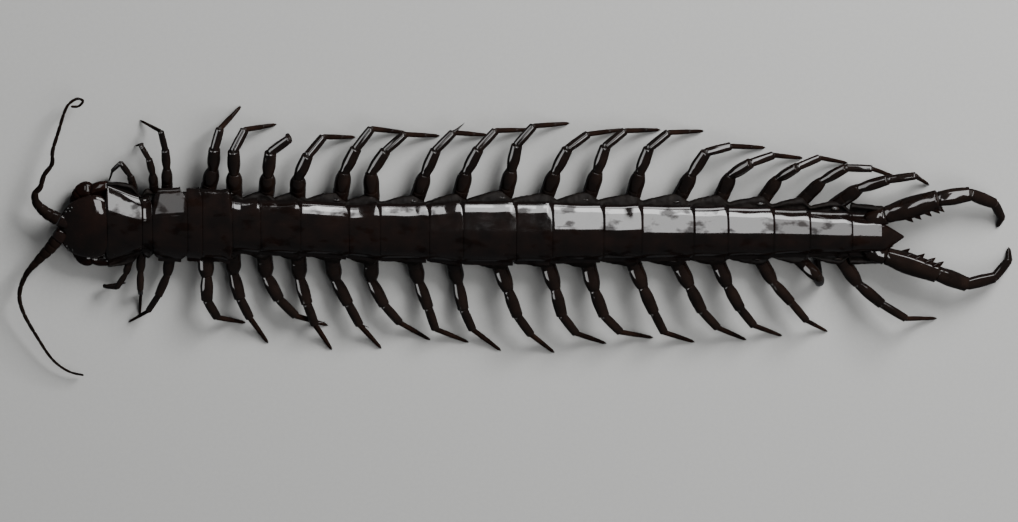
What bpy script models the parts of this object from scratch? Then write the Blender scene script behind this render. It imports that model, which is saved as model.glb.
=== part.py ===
"""A giant centipede, life size, standing on the floor at z = 0.

The head points along -X, the animal's right side is +Y and up is +Z. Lengths are in millimetres
until a mesh is made, and the scene is in metres. The origin is under the middle of the whole animal.
"""

import math

import bmesh
import bpy
from mathutils import Matrix, Vector

MM = 0.001
ANIMAL = "giant_centipede"
GAP = 0.3

# The animal's own frame is moved by this much, so that its box is centred on the origin
PLACE = Vector((-4.7, 3.4, 0.0))

# Trunk: how much of each back plate shows behind the plate in front of it
TRUNK_FRONT = -124.2
PLATE_LENGTHS = (
    11.1, 3.2, 11.1, 4.7, 9.5, 8.8, 12.6, 15.2, 9.8, 15.5, 10.7,
    16.7, 11.4, 16.1, 12.0, 16.4, 10.7, 14.5, 11.4, 13.3, 9.5,
)
TRUNK_END = 120.6
LEGS_PER_LENGTH = 3

# Trunk curves along X: middle line, half width over the flanks and over the back plates, and height
MIDDLE = (
    (-139.0, 1.0), (-124.0, 2.0), (-98.0, 2.7), (-79.0, 1.9), (-57.0, 1.2),
    (-44.0, 0.3), (60.0, 0.0), (95.0, -0.3), (114.0, -1.2), (127.3, -2.0),
)
FLANK_HALF = (
    (-124.2, 14.4), (-120.0, 14.3), (-116.0, 13.4), (-112.8, 12.0), (-105.0, 12.1), (-88.0, 11.8),
    (-57.0, 12.1), (-44.0, 12.1), (-30.0, 12.0), (-17.0, 12.3), (-3.0, 13.5), (12.0, 12.8),
    (25.0, 13.2), (37.0, 12.5), (50.0, 12.6), (70.0, 12.2),
    (88.0, 11.5), (103.0, 11.1), (119.4, 9.8),
)
PLATE_HALF = (
    (-124.2, 13.2), (-119.0, 11.0), (-113.2, 8.5), (-110.0, 8.7), (-108.6, 10.9), (-104.0, 11.4),
    (-88.0, 11.2), (-85.2, 11.1), (-84.2, 8.5), (-78.0, 8.3), (-60.0, 8.4), (-47.0, 8.1), (-38.0, 8.8),
    (-26.0, 8.7), (-12.0, 9.7), (5.0, 9.6), (16.0, 9.4), (31.0, 8.6), (47.0, 8.5), (60.0, 8.0),
    (71.0, 7.9), (85.0, 7.4), (97.0, 6.8), (110.0, 6.3), (119.4, 6.0),
)
BACK_HEIGHT = (
    (-124.2, 10.9), (-110.0, 12.2), (-60.0, 12.8), (30.0, 13.2), (80.0, 12.6), (105.0, 11.6),
    (119.4, 10.2),
)
BELLY = 2.0
MARGIN_DROP = 4.4
FLANK_HEIGHT = 6.0
STERNITE_SHARE = 0.66
PLATE_STEP = 0.5
NOTCH_DEPTH = 2.5
NOTCH_BEHIND = 3.1
LOBE_POWER = 1.5
LOBE_RING = 0.42

# Legs: where each one leaves the trunk, and how big it is beside a full-sized leg
LEG_X = {
    "right": (
        -115.5, -109.0, -104.9, -92.0, -83.7, -73.6, -63.8, -50.2, -40.4, -25.9,
        -12.6, 1.9, 14.9, 28.4, 42.0, 56.9, 69.8, 83.4, 95.7, 106.8,
    ),
    "left": (
        -116.7, -113.3, -104.0, -93.2, -84.4, -74.6, -63.8, -53.4, -40.8, -27.5,
        -14.9, -0.3, 14.9, 27.8, 42.0, 55.9, 68.6, 82.2, 94.4, 107.8,
    ),
}
LEG_STATIONS = [(right + left) / 2 for right, left in zip(LEG_X["right"], LEG_X["left"])]
LEG_PAIRS = len(LEG_STATIONS)
LEG_SIZE = (
    0.60, 0.66, 0.82, 0.88, 0.95, 0.96, 0.97, 1.0, 1.0, 1.0,
    1.0, 1.0, 1.0, 1.0, 1.0, 1.0, 0.96, 0.96, 1.03, 1.10,
)
# How thick each pair is beside a full-sized leg
LEG_GIRTH = (
    0.48, 0.59, 0.71, 1.02, 1.04, 1.05, 1.03, 1.03, 1.0, 1.0,
    1.0, 1.0, 1.0, 1.0, 1.0, 1.0, 0.98, 0.88, 0.86, 0.93,
)
PODOMERES = (8.9, 9.0, 8.0, 7.6, 5.4)
LEG_ROOT_HEIGHT = 3.9
LEG_ROOT_INSET = 1.2
COXA_REACH = 2.1
COXA_RADIUS = 2.50
COXA_DEPTH = 1.8
COXA_FLARE = 0.2
COXA_SIDES = 10
RISE = (16.0, 4.0, -8.0)
FIRST_TARSUS_SHARE = 0.70
SOLE = 0.07

# Radii along a full-sized leg: podomere, place along it and radius
LEG_RADII = (
    (0, 0.0, 2.50), (0, 0.38, 2.54), (0, 0.90, 2.00),
    (1, 0.0, 1.64), (1, 0.38, 2.00), (1, 0.88, 1.84),
    (2, 0.0, 1.42), (2, 0.35, 1.46), (2, 0.90, 1.38),
    (3, 0.0, 0.86), (3, 0.92, 0.76),
    (4, 0.15, 0.70), (4, 0.72, 0.52), (4, 1.0, 0.14),
)
LEG_SIDES = 7

# The pose. Each podomere's bearing is its slope in degrees from +X, as it looks to an eye that leans
# VIEW_LEAN degrees from straight above towards the animal's right. The last value is for both tarsi.
VIEW_LEAN = math.radians(22.0)
BEARINGS = {
    "right": (
        (106, 126, 222, 248), (94, 103, 120, 195), (90, 93, 103, 152), (75, 85, 74, 48), (90, 90, 62, 10),
        (83, 83, 35, -60), (87, 66, 50, 0), (80, 63, 52, -6), (92, 56, 41, -2), (71, 66, 45, -4),
        (74, 62, 47, 2), (76, 78, 48, 5), (70, 62, 36, 8), (72, 72, 39, 2), (74, 70, 39, 3),
        (62, 57, 14, -2), (66, 32, 19, -5), (55, 31, 23, -10), (45, 29, -2, -18), (34, 17, 8, -30),
    ),
    "left": (
        (-107, -124, 172, 8), (-93, -91, -92, -93), (-99, -114, -124, -151), (-86, -90, -60, -11),
        (-90, -75, -64, -55), (-85, -62, -45, -17), (-87, -74, -70, -57), (-81, -62, -62, -48),
        (-90, -62, -49, -30), (-77, -70, -72, -22), (-79, -78, -66, -37), (-71, -70, -54, -38),
        (-73, -76, -52, -19), (-77, -69, -45, -10), (-69, -66, -63, -18), (-63, -63, -47, -23),
        (-67, -61, -51, -20), (-60, -48, -50, -27), (-44, -70, 97, 122), (-56, -40, -31, 0),
    ),
}
# Legs held otherwise than the rest: how far each podomere before the tarsi rises, in degrees
HELD = {
    ("right", 1): (30.0, 5.0, -25.0),
    ("right", 2): (16.0, 14.0, 0.0),
    ("right", 3): (12.0, 14.0, 4.0),
    ("right", 4): (12.0, 14.0, 2.0),
    ("right", 5): (22.0, 12.0, -14.0),
    ("right", 6): (32.0, 10.0, 6.0),
    ("right", 7): (28.0, 10.0, -20.0),
    ("right", 17): (14.0, 20.0, -16.0),
    ("right", 18): (12.0, 24.0, -18.0),
    ("right", 19): (10.0, 14.0, 4.0),
    ("right", 20): (24.0, 14.0, 2.0),
    ("left", 1): (15.0, 5.0, -30.0),
    ("left", 2): (12.0, 10.0, -55.0),
    ("left", 5): (-8.0, 12.0, -6.0),
    ("left", 6): (-6.0, 10.0, 2.0),
    ("left", 7): (-6.0, 14.0, -6.0),
    ("left", 8): (-6.0, 10.0, 0.0),
    ("left", 9): (-8.0, 14.0, -8.0),
    ("left", 10): (-6.0, 14.0, -8.0),
    ("left", 11): (-8.0, 12.0, -10.0),
    ("left", 18): (6.0, 14.0, 4.0),
    ("left", 19): (36.0, -59.0, -4.0),
    ("left", 20): (8.0, 12.0, 10.0),
}
# Legs that leave the trunk from further in
INSET = {
    ("right", 5): 2.0, ("right", 7): 2.4, ("left", 5): 2.4, ("left", 6): 2.2, ("left", 7): 2.0,
    ("left", 8): 2.2, ("left", 9): 2.4, ("left", 10): 2.0, ("left", 11): 2.2,
}

# Ultimate legs: stout, held like a pair of tongs, with spines along the prefemur's inner side
ULTIMATE_LENGTHS = (17.2, 10.2, 9.2, 7.2, 4.3)
ULTIMATE_ROOT = (121.6, 6.9, 5.8)
ULTIMATE_BEARINGS = {"right": (17, 9, -21, -61, -114), "left": (-19, -20, 14, 50, 90)}
ULTIMATE_RISE = (5.0, -4.0, -14.0, -26.0)
ULTIMATE_RADII = (
    (0, 0.0, 2.70), (0, 0.12, 3.10), (0, 0.55, 3.45), (0, 0.93, 3.00),
    (1, 0.0, 2.40), (1, 0.22, 2.65), (1, 0.90, 2.35),
    (2, 0.0, 1.80), (2, 0.25, 2.00), (2, 0.90, 1.75),
    (3, 0.0, 1.44), (3, 0.5, 1.50), (3, 0.92, 1.32),
    (4, 0.25, 1.12), (4, 0.65, 0.72), (4, 1.0, 0.15),
)
ULTIMATE_SIDES = 10
SPINE_LENGTH = 2.0
SPINE_RADIUS = 1.10
SPINE_ROOT = 2.3
SPINE_ROWS = ((0.34, 0.50, 0.70, 0.86), (0.28, 0.57, 0.78))

# Head shield, across its middle line at each X: half width, height of the top
HEAD = (
    (-138.5, 3.9, 7.1), (-137.4, 6.2, 8.0), (-135.0, 8.5, 9.1), (-131.6, 10.1, 10.1),
    (-128.2, 10.6, 10.85), (-125.8, 10.0, 11.05), (-124.5, 8.9, 10.8),
)
HEAD_MARGIN = 6.9
HEAD_UNDERSIDE = 5.0
EYE_RADIUS = 0.42
EYES = ((-136.7, 5.9), (-136.1, 7.0), (-135.5, 6.1), (-134.9, 7.2))

# Forcipular plate under the head, across its middle line at each X: half width
FANG_PLATE = ((-129.0, 13.3), (-127.8, 13.9), (-126.2, 14.3), (-124.5, 14.4))
TOOTH_REACH = 1.7
# One forcipule, from its joint with the plate to the tip of its fang: place, half width, half height
FANG = (
    (-129.3, 11.3, 4.1, 2.3, 2.0), (-130.5, 11.4, 4.0, 2.8, 2.4), (-132.0, 10.6, 3.9, 2.6, 2.2),
    (-133.4, 9.0, 3.7, 2.0, 1.8), (-134.3, 7.4, 3.4, 1.5, 1.35), (-134.6, 5.4, 3.1, 1.1, 1.05),
    (-134.0, 3.6, 2.9, 0.75, 0.75), (-132.8, 2.3, 2.7, 0.25, 0.25),
)

# Antennae: the line that each one follows, and its radius by the length from its root
ANTENNA_ROUTE = {
    "right": (
        (-139.4, 4.2, 6.4), (-142.8, 6.2, 6.6), (-145.9, 9.6, 7.0), (-146.4, 13.0, 7.3), (-144.7, 15.4, 7.6),
        (-143.4, 19.6, 8.0), (-140.9, 23.4, 8.0), (-140.6, 27.8, 7.8), (-138.7, 34.0, 7.0),
        (-136.8, 40.1, 6.0), (-135.2, 42.8, 5.5), (-132.8, 44.2, 5.0), (-131.0, 43.3, 4.6),
        (-132.4, 41.4, 4.2), (-134.9, 41.2, 4.0),
    ),
    "left": (
        (-139.8, -2.9, 6.4), (-142.2, -6.0, 6.5), (-146.0, -10.0, 6.8), (-149.8, -14.8, 7.0),
        (-151.9, -21.5, 6.6), (-150.6, -28.5, 5.7), (-146.3, -37.5, 4.5), (-141.9, -45.1, 3.4),
        (-137.0, -49.4, 2.6), (-132.1, -51.1, 1.9),
    ),
}
ANTENNA_RADII = (
    (0.0, 2.05), (4.0, 1.80), (9.0, 1.30), (14.0, 0.90), (20.0, 0.72), (32.0, 0.58), (46.0, 0.45),
    (70.0, 0.27),
)
ANTENNA_STEP = 2.4
ANTENNA_SIDES = 7

# Pointed end of the last back plate: X, half width, top and underside
TAIL_POINT = ((117.6, 4.6, 9.6, 6.8), (121.4, 4.2, 9.2, 6.6), (123.4, 3.1, 8.4, 6.4), (127.4, 0.4, 6.5, 5.9))

COLOURS = {
    "trunk": ((0.020, 0.011, 0.009), 0.26),
    "head": ((0.024, 0.010, 0.008), 0.24),
    "forcipule": ((0.030, 0.010, 0.007), 0.24),
    "leg": ((0.024, 0.013, 0.010), 0.28),
    "antenna": ((0.022, 0.012, 0.010), 0.36),
}


# Helpers for curves

def smooth_at(table, x, column=1):
    """The value at x on a smooth curve through a table whose rows start with x."""
    last = len(table) - 1
    if x <= table[0][0]:
        return table[0][column]
    if x >= table[last][0]:
        return table[last][column]
    low = max(k for k in range(last) if table[k][0] <= x)
    a, b = table[low], table[low + 1]

    def slope(k):
        before, after = table[max(k - 1, 0)], table[min(k + 1, last)]
        return (after[column] - before[column]) / (after[0] - before[0])

    span = b[0] - a[0]
    t = (x - a[0]) / span
    return (
        a[column] * (1 + 2 * t) * (1 - t) ** 2
        + b[column] * t * t * (3 - 2 * t)
        + slope(low) * span * t * (1 - t) ** 2
        - slope(low + 1) * span * t * t * (1 - t)
    )


def ease(t):
    """0 to 1 with a level start and end."""
    t = min(max(t, 0.0), 1.0)
    return t * t * (3 - 2 * t)


def route(points, step):
    """Points about step apart on a smooth curve through the given ones."""
    found = []
    for k in range(len(points) - 1):
        before = points[max(k - 1, 0)]
        a, b = points[k], points[k + 1]
        after = points[min(k + 2, len(points) - 1)]
        count = max(1, round((b - a).length / step))
        for n in range(count):
            t = n / count
            found.append(
                a * (1 + 2 * t) * (1 - t) ** 2
                + b * t * t * (3 - 2 * t)
                + (b - before) * 0.5 * t * (1 - t) ** 2
                - (after - a) * 0.5 * t * t * (1 - t)
            )
    found.append(points[-1])
    return found


# Helpers for meshes

def new_object(name, shape, kind, origin):
    """An object with its own material, made from a bmesh, with its origin at that place on the animal."""
    colour, roughness = COLOURS[kind]
    material = bpy.data.materials.new(name)
    material.use_nodes = True
    shader = material.node_tree.nodes["Principled BSDF"]
    shader.inputs["Base Color"].default_value = (*colour, 1.0)
    shader.inputs["Roughness"].default_value = roughness
    shader.inputs["Metallic"].default_value = 0.0
    data = mesh_of(name, shape, origin)
    data.materials.append(material)
    made = bpy.data.objects.new(name, data)
    made.location = (Vector(origin) + PLACE) * MM
    bpy.data.collections[ANIMAL].objects.link(made)
    return made


def mesh_of(name, shape, origin):
    """A mesh in metres about that origin, from a bmesh in millimetres in the animal's own frame."""
    bmesh.ops.recalc_face_normals(shape, faces=shape.faces)
    shape.transform(Matrix.Scale(MM, 4) @ Matrix.Translation(-Vector(origin)))
    data = bpy.data.meshes.new(name)
    shape.to_mesh(data)
    shape.free()
    data.shade_smooth()
    return data


def loft(rings):
    """A closed bmesh through rings of equally many points, with its two ends capped by flat fans."""
    shape = bmesh.new()
    loops = [[shape.verts.new(point) for point in ring] for ring in rings]
    count = len(rings[0])
    for first, second in zip(loops, loops[1:]):
        for k in range(count):
            n = (k + 1) % count
            shape.faces.new((first[k], first[n], second[n], second[k]))
    shape.faces.new(loops[0])
    shape.faces.new(loops[-1])
    bmesh.ops.triangulate(shape, faces=shape.faces)
    return shape


def ring_round(centre, along, wide, high, sides):
    """An ellipse of points about a line: wide is its half width, level, and high its other half width."""
    forward = along.normalized()
    side = Vector((0, 0, 1)).cross(forward)
    if side.length < 0.05:
        side = Vector((1, 0, 0)).cross(forward)
    side.normalize()
    up = forward.cross(side)
    points = []
    for k in range(sides):
        turn = math.tau * (k + 0.5) / sides
        points.append(centre + side * (wide * math.cos(turn)) + up * (high * math.sin(turn)))
    return points


def cone(foot, tip, foot_radius, tip_radius, sides):
    """A closed cone or frustum between two points, as a bmesh."""
    along = tip - foot
    shape = bmesh.new()
    bmesh.ops.create_cone(
        shape, cap_ends=True, cap_tris=True, segments=sides,
        radius1=foot_radius, radius2=tip_radius, depth=along.length,
    )
    turn = along.to_track_quat("Z", "Y").to_matrix().to_4x4()
    shape.transform(Matrix.Translation((foot + tip) / 2) @ turn)
    return shape


def keep_largest(shape):
    """Leaves only the connected surface with the most room inside it."""
    left = set(shape.verts)
    bodies = []
    while left:
        stack = [left.pop()]
        body = set(stack)
        while stack:
            for edge in stack.pop().link_edges:
                for vert in edge.verts:
                    if vert in left:
                        left.remove(vert)
                        body.add(vert)
                        stack.append(vert)
        bodies.append(body)

    def spread(body):
        low = [min(v.co[k] for v in body) for k in range(3)]
        high = [max(v.co[k] for v in body) for k in range(3)]
        return math.prod(h - l for h, l in zip(high, low))

    bodies.sort(key=spread)
    for body in bodies[:-1]:
        bmesh.ops.delete(shape, geom=list(body), context="VERTS")


def fuse(target, pieces):
    """Joins the pieces, given as bmeshes, to the target object, so that it stays one closed body."""
    group = bpy.data.collections.new(target.name + "_pieces")
    bpy.context.scene.collection.children.link(group)
    for number, piece in enumerate(pieces):
        name = f"{target.name}_piece_{number}"
        made = bpy.data.objects.new(name, mesh_of(name, piece, -PLACE))
        group.objects.link(made)
    union = target.modifiers.new("fuse", "BOOLEAN")
    union.operation = "UNION"
    union.operand_type = "COLLECTION"
    union.collection = group
    bpy.context.view_layer.update()
    graph = bpy.context.evaluated_depsgraph_get()
    fused = bpy.data.meshes.new_from_object(target.evaluated_get(graph))
    target.modifiers.remove(union)
    for piece in list(group.objects):
        bpy.data.objects.remove(piece)
    bpy.data.collections.remove(group)
    shape = bmesh.new()
    shape.from_mesh(fused)
    keep_largest(shape)
    bmesh.ops.triangulate(shape, faces=shape.faces)
    shape.to_mesh(fused)
    shape.free()
    fused.shade_smooth()
    target.data = fused


# Where things are

def sign_of(side):
    """+1 on the animal's right side and -1 on its left."""
    return 1.0 if side == "right" else -1.0


def plate_ends():
    """X of each back plate's rear edge, from the first plate to the last."""
    ends = []
    x = TRUNK_FRONT
    for length in PLATE_LENGTHS:
        x += length
        ends.append(x)
    return ends


def seen_direction(bearing, rise):
    """The unit vector that rises by rise degrees and has that bearing as VIEW_LEAN's eye sees it."""
    slope, tilt = math.radians(bearing), math.radians(rise)
    level = math.cos(tilt)
    across = level * math.cos(VIEW_LEAN) * math.cos(slope)
    along = level * math.sin(slope)
    size = math.hypot(across, along)
    lift = math.sin(tilt) * math.sin(VIEW_LEAN) * math.cos(slope)
    turn = math.atan2(along, across) + math.asin(min(max(lift / size, -1.0), 1.0))
    return Vector((level * math.cos(turn), level * math.sin(turn), math.sin(tilt)))


def walk(start, lengths, directions):
    """The joints of a limb whose podomeres have these lengths and directions."""
    joints = [start]
    for length, direction in zip(lengths, directions):
        joints.append(joints[-1] + direction * length)
    return joints


def leg_root(side, number):
    """Where a walking leg's middle line leaves the trunk, inside its coxa."""
    x = LEG_X[side][number - 1]
    half = smooth_at(FLANK_HALF, x) - INSET.get((side, number), LEG_ROOT_INSET)
    return Vector((x, smooth_at(MIDDLE, x) + sign_of(side) * half, LEG_ROOT_HEIGHT))


def coxa_reach(side, number):
    """How far a coxa's outer face lies from the leg's root: further where the leg slants along the flank."""
    rise = HELD.get((side, number), RISE)[0]
    way = seen_direction(BEARINGS[side][number - 1][0], rise)
    deeper = INSET.get((side, number), LEG_ROOT_INSET) - LEG_ROOT_INSET
    return (COXA_REACH + deeper) / max(abs(way.y), 0.55)


def leg_joints(side, number):
    """A walking leg's joints, from the coxa's outer face to the claw's tip on the floor."""
    size = LEG_SIZE[number - 1]
    bearings = BEARINGS[side][number - 1]
    rises = HELD.get((side, number), RISE)
    directions = [seen_direction(b, r) for b, r in zip(bearings, rises)]
    lengths = [length * size for length in PODOMERES]
    joints = walk(leg_root(side, number), lengths, directions)
    joints[0] += directions[0] * (coxa_reach(side, number) + GAP)
    drop = joints[-1].z - SOLE
    for length, share in ((lengths[3], FIRST_TARSUS_SHARE), (lengths[4], 1.0)):
        fall = math.degrees(math.asin(min(drop * share / length, 0.97)))
        joints.append(joints[-1] + seen_direction(bearings[3], -fall) * length)
        drop = joints[-1].z - SOLE
    return joints


def ultimate_root(side):
    """The middle of the face that an ultimate leg meets, at the end of its coxopleuron."""
    x, half, height = ULTIMATE_ROOT
    return Vector((x, smooth_at(MIDDLE, x) + sign_of(side) * half, height))


def ultimate_joints(side):
    """An ultimate leg's joints, from its root to the claw's tip on the floor."""
    bearings = ULTIMATE_BEARINGS[side]
    directions = [seen_direction(b, r) for b, r in zip(bearings, ULTIMATE_RISE)]
    start = ultimate_root(side) + directions[0] * GAP
    joints = walk(start, ULTIMATE_LENGTHS, directions)
    fall = math.asin(min((joints[-1].z - SOLE) / ULTIMATE_LENGTHS[4], 0.9))
    joints.append(joints[-1] + seen_direction(bearings[4], -math.degrees(fall)) * ULTIMATE_LENGTHS[4])
    return joints


# Limbs

def limb(joints, radii, sides, size=1.0):
    """A closed tube along a limb, thick and thin by the radii table, flat where it rests on the floor."""
    rings = []
    ways = [(b - a).normalized() for a, b in zip(joints, joints[1:])]
    for podomere, share, radius in radii:
        a, b = joints[podomere], joints[podomere + 1]
        way = ways[podomere]
        centre = a.lerp(b, share)
        if share == 0.0 and podomere > 0:
            way = (way + ways[podomere - 1]).normalized()
        else:
            # Beside a sharp bend a ring keeps clear of its neighbour round the joint
            for joint, other, sense in ((podomere, podomere - 1, 1), (podomere + 1, podomere + 1, -1)):
                if 0 <= other < len(ways) and share not in (0.0, 1.0):
                    half_bend = way.angle(ways[other]) / 2
                    clear = radius * size * math.tan(min(half_bend, 1.2)) + 0.25
                    if (centre - joints[joint]).length < clear and clear < 0.8 * (b - a).length:
                        centre = joints[joint] + way * clear * sense
        rings.append(ring_round(centre, way, radius * size, radius * size, sides))
    for ring in rings:
        for point in ring:
            point.z = max(point.z, 0.0)
    return loft(rings)


def build_leg(side, number):
    name = f"leg_{side}_{number:02d}"
    shape = limb(leg_joints(side, number), LEG_RADII, LEG_SIDES, LEG_GIRTH[number - 1])
    return new_object(name, shape, "leg", leg_root(side, number))


def coxa(side, number):
    """The short stub by which a walking leg leaves the trunk."""
    root = leg_root(side, number)
    rise = HELD.get((side, number), RISE)[0]
    way = seen_direction(BEARINGS[side][number - 1][0], rise)
    face = root + way * coxa_reach(side, number)
    radius = COXA_RADIUS * LEG_GIRTH[number - 1]
    return cone(root - way * COXA_DEPTH, face, radius + COXA_FLARE, radius, COXA_SIDES)


def spine_on(joints, share, turn, side):
    """A spine on an ultimate leg's prefemur, turned by that many degrees from its inner side to its top."""
    a, b = joints[0], joints[1]
    way = (b - a).normalized()
    inner = Vector((0, 0, 1)).cross(way) * -sign_of(side)
    inner.normalize()
    up = way.cross(inner) * -sign_of(side)
    out = inner * math.cos(math.radians(turn)) + up * math.sin(math.radians(turn))
    foot = a.lerp(b, share) + out * SPINE_ROOT
    tip = foot + (out * 0.90 + way * 0.60).normalized() * (SPINE_LENGTH + 1.2)
    return cone(foot, tip, SPINE_RADIUS, 0.06, 6)


def build_ultimate_leg(side):
    name = f"ultimate_leg_{side}"
    joints = ultimate_joints(side)
    leg = new_object(name, limb(joints, ULTIMATE_RADII, ULTIMATE_SIDES), "leg", ultimate_root(side))
    spines = []
    for turn, row in zip((22.0, -28.0), SPINE_ROWS):
        spines += [spine_on(joints, share, turn, side) for share in row]
    spines.append(spine_on(joints, 0.93, 5.0, side))
    fuse(leg, spines)
    return leg


# Trunk

def lobe(x):
    """How full the flank is at x: it narrows just behind each leg and swells again before the next."""
    behind = [leg + NOTCH_BEHIND for leg in LEG_STATIONS if leg + NOTCH_BEHIND <= x]
    ahead = [leg for leg in LEG_STATIONS if leg + NOTCH_BEHIND > x]
    if not behind or not ahead:
        return 1.0
    share = (x - behind[-1]) / (ahead[0] - behind[-1])
    return 1.0 - (1.0 - min(share, 1.0)) ** LOBE_POWER


def plate_share(x):
    """How far x lies along its back plate, from 0 at the front to 1 at the rear edge."""
    front = TRUNK_FRONT
    for end in plate_ends():
        if x <= end:
            return (x - front) / (end - front)
        front = end
    return 1.0


def trunk_section(x):
    """The trunk's outline across x, as points from the top down the right flank and up the left."""
    share = plate_share(x)
    tucked = PLATE_STEP * (1 - ease(share / 0.5))
    top = smooth_at(BACK_HEIGHT, x) - tucked
    plate = smooth_at(PLATE_HALF, x) - 0.6 * tucked + 0.25 * ease((share - 0.6) / 0.4)
    margin = smooth_at(BACK_HEIGHT, x) - MARGIN_DROP - 0.5 * tucked
    flank = smooth_at(FLANK_HALF, x) - NOTCH_DEPTH * (1 - lobe(x))
    drop = top - margin
    sternite = STERNITE_SHARE * flank
    half = (
        (0.0, top),
        (0.42 * plate, top - 0.08 * drop),
        (0.70 * plate, top - 0.36 * drop),
        (0.88 * plate, top - 0.69 * drop),
        (plate, margin),
        (plate - 0.45, margin - 0.75),
        (plate + 0.62 * (flank - plate), FLANK_HEIGHT + 0.55 * (margin - 0.75 - FLANK_HEIGHT)),
        (flank, FLANK_HEIGHT),
        (flank - 1.0, 3.6),
        (sternite + 0.8, 2.7),
        (sternite, BELLY),
        (0.0, BELLY),
    )
    middle = smooth_at(MIDDLE, x)
    right = [Vector((x, middle + y, z)) for y, z in half]
    left = [Vector((x, middle - y, z)) for y, z in half[-2:0:-1]]
    return right + left


def trunk_cuts():
    """X of the planes between the trunk's lengths: a plate's rear edge, where that clears the leg."""
    ends = plate_ends()
    cuts = [TRUNK_FRONT + GAP / 2]
    for number in range(LEGS_PER_LENGTH, LEG_PAIRS, LEGS_PER_LENGTH):
        leg, end = LEG_STATIONS[number - 1], ends[number - 1]
        cuts.append(end if leg + 3.1 <= end < leg + 7.0 else leg + 3.9)
    cuts.append(TRUNK_END)
    return cuts


def stations(front, rear):
    """X of a trunk length's rings: its ends, the plates' edges, and each leg, notch and lobe."""
    wanted = [front, rear]
    for end in plate_ends():
        wanted += [end - 0.07, end + 0.07]
    for leg, after in zip(LEG_STATIONS, LEG_STATIONS[1:] + [TRUNK_END]):
        notch = leg + NOTCH_BEHIND
        wanted += [leg, notch, notch + LOBE_RING * (after - notch)]
    inside = sorted(x for x in wanted if front <= x <= rear)
    kept = [inside[0]]
    for x in inside[1:]:
        if x - kept[-1] > 0.12:
            kept.append(x)
    kept[-1] = rear
    return kept


def tail_point():
    """The last back plate's pointed end, as a closed bmesh."""
    rings = []
    for x, half, top, under in TAIL_POINT:
        middle = smooth_at(MIDDLE, x)
        edge = under + 0.35 * (top - under)
        outline = ((0.0, top), (0.6 * half, top - 0.2 * (top - under)), (half, edge), (0.6 * half, under))
        right = [Vector((x, middle + y, z)) for y, z in outline]
        left = [Vector((x, middle - y, z)) for y, z in outline[:0:-1]]
        rings.append(right + left)
    return loft(rings)


def coxopleuron(side):
    """The stub at the trunk's end that an ultimate leg meets."""
    root = ultimate_root(side)
    way = seen_direction(ULTIMATE_BEARINGS[side][0], ULTIMATE_RISE[0])
    return cone(root - way * 5.0, root, 2.7, 2.75, 12)


def build_trunk():
    cuts = trunk_cuts()
    for number, (front, rear) in enumerate(zip(cuts, cuts[1:])):
        first = LEGS_PER_LENGTH * number + 1
        last = min(first + LEGS_PER_LENGTH - 1, LEG_PAIRS)
        final = rear == TRUNK_END
        name = f"trunk_{first:02d}_{21 if final else last:02d}"
        rear_face = rear if final else rear - GAP / 2
        front_face = front + GAP / 2 if number else front
        rings = [trunk_section(x) for x in stations(front_face, rear_face)]
        length = new_object(name, loft(rings), "trunk", (front_face, smooth_at(MIDDLE, front_face), 0.0))
        pieces = [coxa(side, leg) for leg in range(first, last + 1) for side in ("right", "left")]
        if final:
            pieces += [coxopleuron("right"), coxopleuron("left"), tail_point()]
        fuse(length, pieces)


# Head, forcipules and antennae

def build_head():
    rings = []
    for x, half, top in HEAD:
        middle = smooth_at(MIDDLE, x)
        drop = top - HEAD_MARGIN
        under = max(HEAD_UNDERSIDE, HEAD_MARGIN - 0.45 * half)
        outline = (
            (0.0, top), (0.35 * half, top - 0.07 * drop), (0.66 * half, top - 0.28 * drop),
            (0.88 * half, top - 0.62 * drop), (half, HEAD_MARGIN), (0.93 * half, HEAD_MARGIN - 0.5),
            (0.62 * half, under), (0.0, under),
        )
        right = [Vector((x, middle + y, z)) for y, z in outline]
        left = [Vector((x, middle - y, z)) for y, z in outline[-2:0:-1]]
        rings.append(right + left)
    rings[-1] = [Vector((TRUNK_FRONT - GAP / 2, p.y, p.z)) for p in rings[-1]]
    rear = HEAD[-1][0]
    head = new_object("head", loft(rings), "head", (rear, smooth_at(MIDDLE, rear), HEAD_MARGIN))
    pieces = []
    for side in ("right", "left"):
        root, way = antenna_root(side)
        pieces.append(cone(root - way * 3.4, root, 2.15, 2.05, 10))
        for x, half in EYES:
            middle = smooth_at(MIDDLE, x)
            height = smooth_at(HEAD, x, 2) - 0.55 * (smooth_at(HEAD, x, 2) - HEAD_MARGIN)
            eye = bmesh.new()
            bmesh.ops.create_icosphere(eye, subdivisions=1, radius=EYE_RADIUS)
            eye.transform(Matrix.Translation((x, middle + sign_of(side) * half, height)))
            pieces.append(eye)
    fuse(head, pieces)


def fang_plate_section(x, half):
    """The forcipular plate's outline across x: low under the head and raised beside it."""
    middle = smooth_at(MIDDLE, x)
    outline = (
        (0.0, 4.6), (0.45 * half, 4.6), (0.74 * half, 5.5), (0.84 * half, 6.5), (0.93 * half, 6.3),
        (half, 4.8), (0.90 * half, 2.9), (0.68 * half, BELLY), (0.0, BELLY),
    )
    right = [Vector((x, middle + y, z)) for y, z in outline]
    left = [Vector((x, middle - y, z)) for y, z in outline[-2:0:-1]]
    return right + left


def build_fang_plate():
    rings = [fang_plate_section(x, half) for x, half in FANG_PLATE]
    front, middle = FANG_PLATE[0][0], smooth_at(MIDDLE, FANG_PLATE[0][0])
    plate = new_object("coxosternum", loft(rings), "forcipule", (front, middle, BELLY))
    teeth = []
    for side in ("right", "left"):
        for number in range(3):
            y = middle + sign_of(side) * (0.9 + 1.2 * number)
            foot = Vector((front + 1.2, y, 3.2))
            teeth.append(cone(foot, foot - Vector((1.2 + TOOTH_REACH, 0, 0)), 0.75, 0.25, 7))
    fuse(plate, teeth)


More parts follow.
